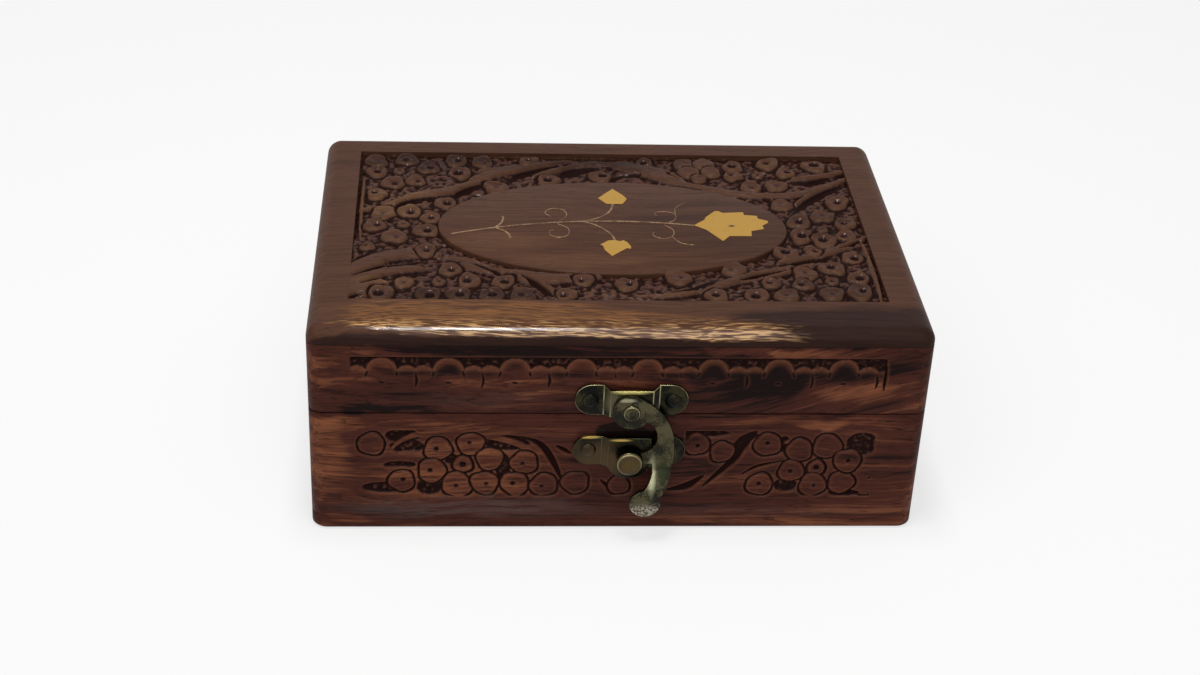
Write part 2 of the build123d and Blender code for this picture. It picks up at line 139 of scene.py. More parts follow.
class BoxWoodSettings(bpy.types.PropertyGroup):
    """Colours of the lacquered rosewood."""

    lid_dark: colour("Lid dark", "Darkest streaks of the lid's top", tint(46, 28, 23))
    lid_body: colour("Lid body", "Main colour of the lid's top", tint(80, 52, 39))
    lid_light: colour("Lid light", "Lightest streaks of the lid's top", tint(108, 76, 52))
    wall_dark: colour("Wall dark", "Darkest streaks of the walls", tint(24, 12, 11))
    wall_body: colour("Wall body", "Main colour of the walls", tint(71, 36, 28))
    wall_light: colour("Wall light", "Orange streaks of the walls", tint(128, 77, 52))
    edge_light: colour("Edge light", "Golden wood of the rounded edge", tint(120, 78, 43))
    cut_ground: colour("Cut ground", "Reddish wood where the lacquer lies thin", tint(66, 35, 29))
    # Painted shade in the deep cuts
    cut_painted_shade: colour("Cut shade", "Stain that has gathered in the cuts", tint(24, 10, 8))


class BoxMetalSettings(bpy.types.PropertyGroup):
    """Colours of the brass and of the velvet."""

    inlay: colour("Inlay", "Polished brass of the inlay", tint(178, 137, 54))
    wire: colour("Wire", "Dull brass of the inlaid wires", tint(152, 122, 90))
    plate: colour("Plate", "Antique brass of the latch plates", tint(50, 46, 31))
    plate_dark: colour("Plate patina", "Dark patina of the latch plates", tint(15, 15, 12))
    hook: colour("Hook", "Antique brass of the hook", tint(78, 74, 54))
    hook_dark: colour("Hook patina", "Dark patina of the hook", tint(30, 29, 22))
    knob: colour("Knob", "Yellower brass of the knob", tint(82, 66, 38))
    # Lighter brass at the latch's edges, partly wear and partly painted highlight
    latch_edge: colour("Latch edge", "Brass that shows at the edges of the latch", tint(156, 148, 110))
    latch_worn: colour("Latch worn", "Bright metal where the patina has worn off", tint(172, 164, 150))
    hinge: colour("Hinge", "Lacquered brass of the hinges", tint(190, 152, 84))
    velvet: colour("Velvet", "Pile of the lining", tint(112, 16, 26))


class BoxStageSettings(bpy.types.PropertyGroup):
    """Floor, lamps and camera."""

    floor_size: length("Floor size", "Side of the floor", 6000.0)
    floor_colour: colour("Floor", "Colour of the floor", tint(244, 244, 244))
    floor_white: number("Floor white", "Share of plain white in the floor", 0.66)
    room_strength: number("Room", "Strength of the room's light", 0.3)
    sun_strength: number("Sun", "Strength of the soft light", 1.4)
    lamp_power: number("Lamp", "Power of the small lamp above the front", 1.6)
    lens: number("Lens", "Focal length of the camera in millimetres", 61.34)


# Shader arithmetic and nodes


class Level:
    """A number that varies over a surface, used in plain arithmetic."""

    def __init__(self, finish, socket):
        self.finish = finish
        self.socket = socket

    def math(self, operation, *values, clamp=False):
        settings = {"operation": operation, "use_clamp": clamp}
        return self.finish.node("ShaderNodeMath", settings, dict(enumerate((self, *values))))

    def __add__(self, other):
        return self.math("ADD", other)

    __radd__ = __add__

    def __mul__(self, other):
        return self.math("MULTIPLY", other)

    __rmul__ = __mul__

    def __sub__(self, other):
        return self.math("SUBTRACT", other)

    def __rsub__(self, other):
        return self.finish.node("ShaderNodeMath", {"operation": "SUBTRACT"}, {0: other, 1: self})

    def clamped(self):
        return self.math("ADD", 0.0, clamp=True)

    def rise(self, low, high):
        """0 below low, 1 above high, and smooth between them."""
        return self.finish.node(
            "ShaderNodeMapRange",
            {"interpolation_type": "SMOOTHSTEP"},
            {"Value": self, "From Min": low, "From Max": high, "To Min": 0.0, "To Max": 1.0},
        )


class Finish:
    """One material, put together node by node."""

    def __init__(self, name, tree=None):
        if tree is None:
            self.material = bpy.data.materials.new(name)
            self.material.use_nodes = True
        self.tree = tree or self.material.node_tree
        self.tree.nodes.clear()

    def node(self, kind, settings=None, sockets=None, output=0):
        """Add a node of a type, make its settings, fill or link its sockets, and return one output."""
        made = self.tree.nodes.new(kind)
        for key, value in (settings or {}).items():
            if key == "stops":
                ramp = made.color_ramp
                while len(ramp.elements) < len(value):
                    ramp.elements.new(0.5)
                for element, (position, shade) in zip(ramp.elements, value):
                    element.position = position
                    element.color = shade
            else:
                setattr(made, key, value)
        for key, value in (sockets or {}).items():
            if isinstance(value, Level):
                self.tree.links.new(value.socket, made.inputs[key])
            else:
                made.inputs[key].default_value = value
        return Level(self, made.outputs[output]) if made.outputs else None

    def place(self):
        """The place of a point of the object, in metres."""
        return self.node("ShaderNodeTexCoord", output="Object")

    def stretched(self, place, scale):
        """The same place with its axes stretched, for a pattern that runs along the grain."""
        return self.node("ShaderNodeMapping", {}, {"Vector": place, "Scale": scale})

    def noise(self, vector, scale=1.0, detail=3.0, roughness=0.5, output=0):
        sockets = {"Vector": vector, "Scale": scale, "Detail": detail, "Roughness": roughness}
        return self.node("ShaderNodeTexNoise", {}, sockets, output)

    def vectors(self, operation, *values, output="Vector"):
        """Arithmetic on vectors."""
        return self.node("ShaderNodeVectorMath", {"operation": operation}, dict(enumerate(values)), output)

    def warped(self, place, scale, reach):
        """The same place, pushed to and fro by up to a reach in millimetres."""
        cloud = self.noise(place, scale, detail=2.0, output="Color")
        centred = self.vectors("SUBTRACT", cloud, (0.5, 0.5, 0.5))
        return self.vectors("MULTIPLY_ADD", centred, tuple(axis * 2 * MM for axis in reach), place)

    def patch(self, place, centre, reach, amount):
        """A spot that fades out at its reach, both in millimetres."""
        scale = tuple(1 / (axis * MM) for axis in reach)
        offset = tuple(-at / axis for at, axis in zip(centre, reach))
        away = self.vectors("LENGTH", self.vectors("MULTIPLY_ADD", place, scale, offset), output="Value")
        return (1.0 - away.rise(0.3, 1.0)) * amount

    def axis(self, place, letter):
        return self.node("ShaderNodeSeparateXYZ", {}, {"Vector": place}, output=letter)

    def ramp(self, level, *stops):
        return self.node("ShaderNodeValToRGB", {"stops": stops}, {"Fac": level})

    def mix(self, level, first, second, blend="MIX"):
        """Mix two colours."""
        settings = {"data_type": "RGBA", "blend_type": blend}
        return self.node("ShaderNodeMix", settings, {0: level, 6: first, 7: second}, output=2)

    def bump(self, height, distance, strength):
        return self.node("ShaderNodeBump", {}, {"Height": height, "Distance": distance, "Strength": strength})

    def carved(self, name):
        """A value that carving or easing has left on the mesh, or 0 where there is none."""
        return self.node("ShaderNodeAttribute", {"attribute_name": name}, output="Fac")

    def surface(self, **sockets):
        """Finish with a principled surface."""
        named = {key.replace("_", " ").title().replace("Ior", "IOR"): value for key, value in sockets.items()}
        shader = self.node("ShaderNodeBsdfPrincipled", {}, named)
        self.node("ShaderNodeOutputMaterial", {}, {"Surface": shader})
        return self.material


def seen(finish):
    """1 where the camera, a mirror or glass sees the surface, and 0 where it only lights the rest."""
    camera, mirror, glass = (
        finish.node("ShaderNodeLightPath", output=f"Is {kind} Ray")
        for kind in ("Camera", "Glossy", "Transmission")
    )
    return camera.math("MAXIMUM", mirror.math("MAXIMUM", glass))


# Finishes


def rosewood(name, colours, grain, figure, patches=(), gold=None, climb=None, gloss=0.25, gleams=()):
    """Lacquered rosewood whose grain runs along an axis: 0 for X and 1 for Y.

    Figure is the contrast of its streaks. Patches are spots of lighter or darker wood, some of them
    painted shade, and gleams are spots of thicker lacquer: a centre, a reach and an amount. Gold says
    where the wood is golden and thickly lacquered, and climb where its grain runs askew. Gloss is the
    lacquer beside the cuts.
    """
    dark, body, light, edge_light, cut_ground, cut_painted_shade = colours
    wood = Finish(name)
    place = wood.place()
    sway = [7.0, 7.0, 7.0]
    sway[grain] = 0.0
    curved = wood.warped(wood.warped(place, 13.0, sway), 60.0, [reach * 0.05 for reach in sway])
    if climb:
        curved = climb(wood, curved)

    def streaks(along, across, **settings):
        scale = [across, across, across]
        scale[grain] = along
        return wood.noise(wood.stretched(curved, scale), **settings)

    broad = streaks(7.0, 75.0, detail=3.0, roughness=0.5)
    middle = streaks(14.0, 330.0, detail=5.0, roughness=0.66)
    fibres = streaks(45.0, 1300.0, detail=2.0)
    fine = streaks(230.0, 2800.0, detail=1.0)
    pores = fine.rise(0.60, 0.70)
    rings = streaks(9.0, 190.0, detail=2.0) * 9.0
    lines = 1.0 - rings.math("FRACT").rise(0.0, 0.22)
    streak = (broad * 0.36 + middle * 0.42 + fibres * 0.22 - 0.5) * figure + 0.5
    cloudy = wood.warped(place, 90.0, (6.0, 3.0, 3.0))
    for centre, reach, amount in patches:
        streak = streak + wood.patch(cloudy, centre, reach, amount)
    shade = wood.ramp(streak, (0.30, dark), (0.46, body), (0.56, body), (0.78, light))
    shade = wood.mix(fibres.rise(0.35, 0.75) * 0.35, shade, FIBRE_STAIN, "MULTIPLY")
    shade = wood.mix((pores * 0.5 + lines * (0.3 * figure - 0.15)).clamped(), shade, dark)
    glaze = 0.05
    if gold:
        golden = gold(wood, curved)
        threads = (fibres * 0.3 + fine * 0.36 + middle * 0.34).rise(0.40, 0.60)
        golden = (golden * 1.6 + threads * 0.4 - 0.4).clamped()
        shade = wood.mix(golden, shade, wood.mix(threads, GOLD_SHADE, edge_light))
        # Painted glints: golden-white flecks of the lacquer's highlight along the front of the margin
        painted_glints = (fine * 0.6 + middle * 0.4).rise(0.50, 0.59) * golden
        ahead = 1.0 - wood.axis(place, "Y").rise(-50.0 * MM, -45.5 * MM)
        shade = wood.mix(painted_glints * ahead * 0.65, shade, PAINTED_GOLD_GLINT)
        bent = 1.0 - wood.axis(place, "Z").rise(57.70 * MM, 57.98 * MM)
        glaze = golden * bent * (threads * 0.8 + 0.2) + golden * 0.08 + glaze
    for centre, reach, amount in gleams:
        glaze = glaze + wood.patch(cloudy, centre, reach, amount) * fibres.rise(0.3, 0.6)
    recess = wood.carved("recess")
    brink = recess.rise(0.02, 0.2) - recess.rise(0.25, 0.55)
    shade = wood.mix(recess.rise(0.02, 0.30) * 0.6, shade, cut_ground)
    # Painted shade: the deeper cuts turn near black
    shade = wood.mix(recess.rise(0.16, 0.64) * 0.96, shade, cut_painted_shade)
    # Lighter rims: partly wear, partly painted highlight
    shade = wood.mix((wood.carved("edge") * 0.36).clamped(), shade, light)
    height = fibres * 0.5 - pores * 0.6 + wood.noise(place, scale=900.0, detail=2.0) * 0.3
    return wood.surface(
        base_color=shade,
        roughness=(0.40 + fibres * 0.14 + recess * 0.2).clamped(),
        coat_weight=(glaze + brink * gloss - recess * 0.04).clamped(),
        coat_roughness=0.15 if gold else 0.12,
        specular_ior_level=0.03,
        normal=wood.bump(height, 0.00012, 0.5),
    )


def brass(name, metal, tarnish, cover, roughness, pins=()):
    """Brass with tarnish that covers a share of it in clouds, and dark pins: a centre and a reach."""
    finish = Finish(name)
    place = finish.place()
    clouds = finish.noise(place, scale=315.0, detail=5.0, roughness=0.65)
    specks = finish.noise(place, scale=2250.0, detail=2.0)
    patina = (clouds * 0.7 + specks * 0.3).rise(0.62 - cover * 0.3, 0.80 - cover * 0.3)
    shade = finish.mix(patina * 0.85, metal, tarnish)
    for centre, reach in pins:
        shade = finish.mix(finish.patch(place, centre, reach, 1.0), shade, INLAY_PIN)
    return finish.surface(
        base_color=shade,
        metallic=1.0 - patina * 0.25,
        roughness=(roughness + patina * 0.18 + specks * 0.06).clamped(),
        normal=finish.bump(clouds + specks * 0.5, 0.00006, 0.5),
    )


def latch_brass(name, metal, patina, rim, tones_and_painted_light, worn=None):
    """Antique brass, dark in clouds and bright at its edges, partly from wear and partly as painted
    highlight, worn to bare metal on the thumb pad.

    The spots give it another colour: lighter brass, the knob's brass, painted highlights and painted
    shade: a centre, a reach and the colour.
    """
    finish = Finish(name)
    place = finish.place()
    clouds = finish.noise(place, scale=210.0, detail=3.0, roughness=0.5)
    specks = finish.noise(place, scale=2400.0, detail=2.0)
    cover = (clouds * 0.7 + specks * 0.3).rise(0.42, 0.58)
    shade = finish.mix(cover, metal, patina)
    # Edges lighter, partly wear and partly painted highlight
    wear_and_highlight = finish.carved("edge") * clouds.rise(0.32, 0.58)
    shade = finish.mix(wear_and_highlight * 0.8, shade, rim)
    for centre, reach, spot_colour in tones_and_painted_light:
        shade = finish.mix(finish.patch(place, centre, reach, 0.8), shade, spot_colour)
    roughness = 0.22 + cover * 0.14
    if worn:
        thumb_pad = 1.0 - finish.axis(place, "Z").rise(9.5 * MM, 12.5 * MM)
        bare = thumb_pad * specks.rise(0.42, 0.60)
        shade = finish.mix(bare * 0.8, shade, worn)
        roughness = roughness + bare * 0.2
    return finish.surface(
        base_color=shade,
        metallic=(1.0 - cover * 0.1).clamped(),
        roughness=roughness.clamped(),
        normal=finish.bump(clouds + specks * 0.3, 0.00005, 0.4),
    )


def velvet(pile):
    """Short velvet pile: dark when seen straight on, and pale at a slant."""
    finish = Finish("velvet")
    place = finish.place()
    nap = finish.noise(place, scale=60.0, detail=3.0)
    tufts = finish.noise(place, scale=3200.0, detail=1.0)
    shade = finish.mix(nap.rise(0.35, 0.65) * 0.35, pile, PILE_SHADE)
    shade = finish.mix(tufts.rise(0.3, 0.7) * 0.3, shade, PILE_DEPTH)
    return finish.surface(
        base_color=shade,
        roughness=0.95,
        sheen_weight=0.35,
        sheen_roughness=0.35,
        sheen_tint=PILE_SHEEN,
        normal=finish.bump(tufts, 0.0003, 0.6),
    )


# Making pieces


def piece(mesh, name, finish, body, slot, *nodes, sharp=35.0):
    """Turn a finished bmesh into an object that rides on a body, and may stand for CAD nodes."""
    data = bpy.data.meshes.new(name)
    for face in mesh.faces:
        face.smooth = True
    mesh.to_mesh(data)
    mesh.free()
    if sharp:
        data.set_sharp_from_angle(angle=math.radians(sharp))
    data.materials.append(finish)
    made = bpy.data.objects.new(name, data)
    bpy.context.scene.collection.objects.link(made)
    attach(made, body)
    if nodes:
        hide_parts(*nodes)


def painted(node, finish):
    """Give a CAD node a finish, and leave its mesh as it is."""
    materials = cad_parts[node].data.materials
    materials.clear()
    materials.append(finish)


def corners_of(geometry):
    """The vertices among what an operation on a mesh has made."""
    return [item for item in geometry if isinstance(item, bmesh.types.BMVert)]


def rise_of(edge):
    """The difference in height between an edge's ends, in metres."""
    return abs(edge.verts[0].co.z - edge.verts[1].co.z)


def rounded(mesh, edges, radius, segments):
    """Round some edges over, with a radius in millimetres, and return the new faces."""
    return bmesh.ops.bevel(
        mesh, geom=edges, offset=radius * MM, offset_type="OFFSET", segments=segments,
        profile=0.5, affect="EDGES", clamp_overlap=True, material=-1,
    )["faces"]


def eased(mesh, radius, segments):
    """Round over the edges that turn by more than 25 degrees, and return the new faces."""
    limit = math.radians(25)
    edges = [e for e in mesh.edges if len(e.link_faces) == 2 and e.calc_face_angle(0) > limit]
    return rounded(mesh, edges, radius, segments)


def dressed(node, name, finish, body, slot, radius, segments=2, wear_and_highlight=False):
    """Replace a CAD node with a copy whose edges are eased, and marked bright where asked: partly wear and
    partly painted highlight.
    """
    mesh = bmesh.new()
    mesh.from_mesh(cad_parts[node].data)
    bmesh.ops.remove_doubles(mesh, verts=mesh.verts, dist=0.002 * MM)
    bmesh.ops.dissolve_limit(
        mesh, angle_limit=math.radians(0.6), verts=mesh.verts, edges=mesh.edges, delimit=set()
    )
    edge_layer = mesh.loops.layers.float.new("edge")
    for face in eased(mesh, radius, segments):
        for loop in face.loops:
            loop[edge_layer] = 1.0 if wear_and_highlight else 0.0
    piece(mesh, name, finish, body, slot, node)


def in_millimetres(corner):
    """A corner of a frame's box, which is in metres."""
    return tuple(axis / MM for axis in corner)


def block(low, high):
    """A box between two corners, in millimetres."""
    mesh = bmesh.new()
    bmesh.ops.create_cube(mesh, size=1.0)
    low, high = Vector(low) * MM, Vector(high) * MM
    bmesh.ops.scale(mesh, vec=high - low, verts=mesh.verts)
    bmesh.ops.translate(mesh, vec=(low + high) / 2, verts=mesh.verts)
    return mesh


def recessed(mesh, normal, low, high):
    """Sink a rectangle of a flat side of a mesh, to take a panel. Low and high are its corners."""
    normal = Vector(normal)
    middle = (Vector(low) + Vector(high)) / 2 * MM
    for axis in range(3):
        if abs(normal[axis]) > 0.5:
            continue
        for bound in (low[axis], high[axis]):
            point = middle.copy()
            point[axis] = bound * MM
            across = Vector([1.0 if i == axis else 0.0 for i in range(3)])
            bmesh.ops.bisect_plane(
                mesh, geom=mesh.verts[:] + mesh.edges[:] + mesh.faces[:], plane_co=point, plane_no=across
            )
    mesh.faces.ensure_lookup_table()
    inside = []
    for face in mesh.faces:
        centre = face.calc_center_median() / MM
        if face.normal.dot(normal) < 0.99:
            continue
        level = abs((centre * MM - middle).dot(normal)) < 0.01 * MM
        within = all(abs(normal[i]) > 0.5 or low[i] < centre[i] < high[i] for i in range(3))
        if level and within:
            inside.append(face)
    sunk = bmesh.ops.extrude_face_region(mesh, geom=inside)["geom"]
    bmesh.ops.translate(mesh, vec=normal * -PANEL_THICKNESS * MM, verts=corners_of(sunk))
    bmesh.ops.delete(mesh, geom=inside, context="FACES_ONLY")


# Carving


def smooth_step(values):
    values = np.clip(values, 0, 1)
    return values * values * (3 - 2 * values)


def between(values, low, high, soft_low, soft_high):
    """1 between two values and 0 beyond them, with a soft slope inside each."""
    return smooth_step((values - low) / soft_low) * smooth_step((high - values) / soft_high)


def random_heights(shape, cell, rng):
    """Smooth random heights from 0 to 1 over a grid, with bumps about as wide as a cell, in cuts."""
    rows, columns = (int(size / cell) + 3 for size in shape)
    coarse = rng.random((rows, columns))
    v = np.arange(shape[0])[:, None] / cell
    u = np.arange(shape[1])[None, :] / cell
    vi, ui = v.astype(int), u.astype(int)
    vf, uf = smooth_step(v - vi), smooth_step(u - ui)
    near = coarse[vi, ui] * (1 - uf) + coarse[vi, ui + 1] * uf
    far = coarse[vi + 1, ui] * (1 - uf) + coarse[vi + 1, ui + 1] * uf
    return near * (1 - vf) + far * vf


class Relief:
    """The heights of a carved rectangle, in millimetres from the uncut wood, cut step by step."""

    def __init__(self, low, high, pitch, seed):
        self.low, self.high, self.pitch = low, high, pitch
        self.columns = round((high[0] - low[0]) / pitch)
        self.rows = round((high[1] - low[1]) / pitch)
        u = np.linspace(low[0], high[0], self.columns + 1)
        v = np.linspace(low[1], high[1], self.rows + 1)
        self.u, self.v = np.meshgrid(u, v)
        self.rng = np.random.default_rng(seed)
        self.height = np.zeros(self.u.shape)
        # Painted shade for the cuts, the grooves and the ground
        self.painted_shade = np.zeros(self.u.shape)
        # Painted highlights on lit edges and lit tops
        self.wear_and_highlight = np.zeros(self.u.shape)

    def window(self, points, reach):
        """The part of the grid within reach of some points."""
        us, vs = [p[0] for p in points], [p[1] for p in points]
        first = max(0, int((min(vs) - reach - self.low[1]) / self.pitch) - 1)
        last = min(self.rows + 1, int((max(vs) + reach - self.low[1]) / self.pitch) + 3)
        left = max(0, int((min(us) - reach - self.low[0]) / self.pitch) - 1)
        right = min(self.columns + 1, int((max(us) + reach - self.low[0]) / self.pitch) + 3)
        return slice(first, max(first, last)), slice(left, max(left, right))

    def bumps(self, size):
        """Smooth random heights from -1 to 1, with bumps of about a size in millimetres."""
        return 2 * random_heights(self.u.shape, size / self.pitch, self.rng) - 1

    def oval(self, middle, reach):
        """How far each point is from an oval's middle: 1 on the oval's outline."""
        return np.hypot((self.u - middle[0]) / reach[0], (self.v - middle[1]) / reach[1])

    def punch(self, depth, roughness, painted_shade, where=1.0):
        """Cut the ground away to a depth, leave it rough, and paint shade on it."""
        rough = 0.6 * self.bumps(1.1) + 0.5 * self.bumps(0.65)
        self.painted_shade = np.maximum(self.painted_shade, (painted_shade - 0.35 * rough) * where)
        self.height = np.minimum(self.height, (-depth + roughness * rough) * where)

    def along(self, points, reach):
        """Distance from a curve through some points, the share of its length, and the side."""
        path = curve_through(points)
        area = self.window(path, reach)
        u, v = self.u[area], self.v[area]
        away, share, side = np.full(u.shape, 99.0), np.zeros(u.shape), np.zeros(u.shape)
        for index, (start, end) in enumerate(zip(path, path[1:])):
            du, dv = end[0] - start[0], end[1] - start[1]
            size = max(math.hypot(du, dv), 1e-6)
            t = np.clip(((u - start[0]) * du + (v - start[1]) * dv) / size**2, 0, 1)
            across_u, across_v = u - start[0] - t * du, v - start[1] - t * dv
            distance = np.hypot(across_u, across_v)
            closer = distance < away
            away = np.where(closer, distance, away)
            share = np.where(closer, (index + t) / (len(path) - 1), share)
            side = np.where(closer, np.sign(du * across_v - dv * across_u), side)
        return area, away, share, side

    def leaf(self, points, width, top=-0.04, ridge=0.22, blunt=0.3, wall=0.45):
        """Leave a leaf or a stem standing, which tapers to its tips over its blunt share."""
        area, away, share, side = self.along(points, width + 1)
        taper = np.clip(np.minimum(share, 1 - share) / blunt, 0, 1) ** 0.6
        half = width / 2 * (0.15 + 0.85 * taper)
        crown = -ridge * np.clip(away / half, 0, 1) ** 2 - 0.08 * side * np.clip(away / half, 0, 1)
        edge = smooth_step((half - away) / wall)
        level = (top + crown) * edge + self.height[area] * (1 - edge)
        self.height[area] = np.maximum(self.height[area], level)
        self.painted_shade[area] *= 1 - edge

    def gouge(self, points, width, depth):
        """Cut a crescent that is deepest in its middle."""
        area, away, share, _ = self.along(points, width + 1)
        taper = np.clip(np.minimum(share, 1 - share) / 0.4, 0, 1) ** 0.7
        half = width / 2 * (0.08 + 0.92 * taper)
        inside = smooth_step((half - away) / (half * 0.6))
        cut = -depth * inside * (0.4 + 0.6 * taper)
        # Painted shade inside the crescent
        self.painted_shade[area] = np.maximum(self.painted_shade[area], inside)
        self.height[area] = np.minimum(self.height[area], np.where(away < half, cut, 0))

    def petal(
        self, x, y, radius, turn=0.0, stretch=1.0, top=-0.08, dish=0.45, eye=0.4, lean=(0, 0), point=0.3,
        moat=0.8, line=0.55, wall=0.4, wobble=0.05,
    ):
        """Cut a groove round a petal, and hollow the petal out to an eye.

        Top is the height of the petal's face, and dish the depth of its hollow. Eye, point and lean
        are the eye's depth, width and place. Moat and line are the groove's depth and width, wall the
        width of the petal's own edge, and wobble how far its outline strays from an oval.
        """
        area = self.window([(x, y)], radius * stretch + 2)
        du, dv = self.u[area] - x, self.v[area] - y
        c, s = math.cos(turn), math.sin(turn)
        away = np.hypot((du * c + dv * s) / stretch, dv * c - du * s)
        angle = np.arctan2(dv, du)
        away = away / (1 + wobble * (np.sin(3 * angle + x * 5 + y) + 0.5 * np.sin(5 * angle + x - y * 3)))
        share = away / radius
        ring = smooth_step(1.0 - np.abs(away - radius - 0.2) / line) * (away > radius - 0.1)
        self.height[area] = np.minimum(self.height[area], -moat * ring)
        tilt = 0.10 * (math.sin(x * 3.1 + y) * du + math.cos(x + y * 2.3) * dv) / radius
        inner = np.hypot(du - lean[0], dv - lean[1]) / radius
        hollow = -dish * (1 - smooth_step(inner / 0.78)) - eye * np.exp(-((inner / point) ** 2))
        shoulder = -0.22 * np.clip((share - 0.76) / 0.24, 0, 1) ** 2
        edge = smooth_step((radius - away) / wall)
        level = (top + tilt + hollow + shoulder) * edge + np.minimum(self.height[area], -moat) * (1 - edge)
        self.height[area] = np.where(away < radius, level, self.height[area])
        # Painted shade in the eye and in the groove round the petal
        pit = min(1.0, eye * 1.3) * np.exp(-((inner / point / 1.2) ** 2))
        # Painted highlight along the petal's lower edge
        lit = smooth_step(1.0 - np.abs(away - radius + 0.3) / 0.4) * np.clip(-dv / radius, 0, 1)
        self.wear_and_highlight[area] = np.maximum(self.wear_and_highlight[area], 0.9 * lit)
        within, beyond = pit * edge + (1 - edge) * ring, np.maximum(self.painted_shade[area], ring)
        self.painted_shade[area] = np.where(away < radius, within, beyond)

    def finished(self, marks):
        """The heights with the marks of the tool, softened a little."""
        cut = self.height < -0.03
        height = self.height + marks * (self.bumps(1.6) + self.bumps(0.7)) * cut
        return np.clip(soften(height), -3.0, 0.0)


def curve_through(points, steps=7):
    """Points on a smooth curve through the given ones."""
    path = []
    ends = [points[0], *points, points[-1]]
    for p0, p1, p2, p3 in zip(ends, ends[1:], ends[2:], ends[3:]):
        for step in range(steps):
            t = step / steps
            path.append(tuple(
                0.5 * (2 * b + (c - a) * t + (2 * a - 5 * b + 4 * c - d) * t * t
                       + (3 * b - a - 3 * c + d) * t**3)
                for a, b, c, d in zip(p0, p1, p2, p3)
            ))
    path.append(tuple(points[-1]))
    return path


def soften(height):
    """Blur a grid of heights a little."""
    padded = np.pad(height, 1, mode="edge")
    return (4 * height + padded[:-2, 1:-1] + padded[2:, 1:-1] + padded[1:-1, :-2] + padded[1:-1, 2:]) / 8


def cavities(height, pitch, reach):
    """How far each point lies below its neighbourhood, in millimetres."""
    size = max(1, round(reach / pitch))
    padded = np.pad(height, size, mode="edge")
    total = np.cumsum(np.cumsum(np.pad(padded, ((1, 0), (1, 0))), axis=0), axis=1)
    wide = 2 * size + 1
    near = total[wide:, wide:] - total[:-wide, wide:] - total[wide:, :-wide] + total[:-wide, :-wide]
    return near / wide**2 - height


def carved_slab(relief, height, upright):
    """A closed slab whose face has the carved heights. Upright stands it up to face the front."""
    mesh = bmesh.new()
    bmesh.ops.create_grid(mesh, x_segments=relief.columns, y_segments=relief.rows, size=0.5)
    # Recess is painted shade: the painted shade of the cuts, and how far each point lies below its neighbours
    hollow = cavities(height, relief.pitch, 1.3)
    small = cavities(height, relief.pitch, 0.5)
    recess = np.clip(soften(relief.painted_shade) * 0.8 + np.clip(hollow * 0.8 + small * 1.2, -0.2, 1) * 0.6, 0, 1)
    # Edge lightens convex rims, partly wear and partly painted highlight, and takes the relief's painted
    # highlights
    edge = np.clip(-small * 3.0, 0, 1) + relief.wear_and_highlight
    recess_layer = mesh.verts.layers.float.new("recess")
    edge_layer = mesh.verts.layers.float.new("edge")
    rim = [e for e in mesh.edges if e.is_boundary]
    span_u, span_v = relief.high[0] - relief.low[0], relief.high[1] - relief.low[1]
    surface = FRONT_Y if upright else TOP_Z

    def placed(u, v, depth):
        if upright:
            return Vector((u, surface + depth, v)) * MM
        return Vector((u, v, surface - depth)) * MM

    for vert in mesh.verts:
        column = round((vert.co.x + 0.5) * relief.columns)
        row = round((vert.co.y + 0.5) * relief.rows)
        u = relief.low[0] + span_u * column / relief.columns
        v = relief.low[1] + span_v * row / relief.rows
        vert[recess_layer] = float(recess[row, column])
        vert[edge_layer] = float(edge[row, column])
        vert.co = placed(u, v, -float(height[row, column]))
    for vert in corners_of(bmesh.ops.extrude_edge_only(mesh, edges=rim)["geom"]):
        if upright:
            vert.co.y = (surface + PANEL_THICKNESS) * MM
        else:
            vert.co.z = (surface - PANEL_THICKNESS) * MM
    bmesh.ops.holes_fill(mesh, edges=[e for e in mesh.edges if e.is_boundary], sides=0)
    bmesh.ops.recalc_face_normals(mesh, faces=mesh.faces)
    return mesh


# The carving's plan on the lid, in millimetres from the middle of the box. Petals have a radius too,
# and the others the points of their middle line and their width.

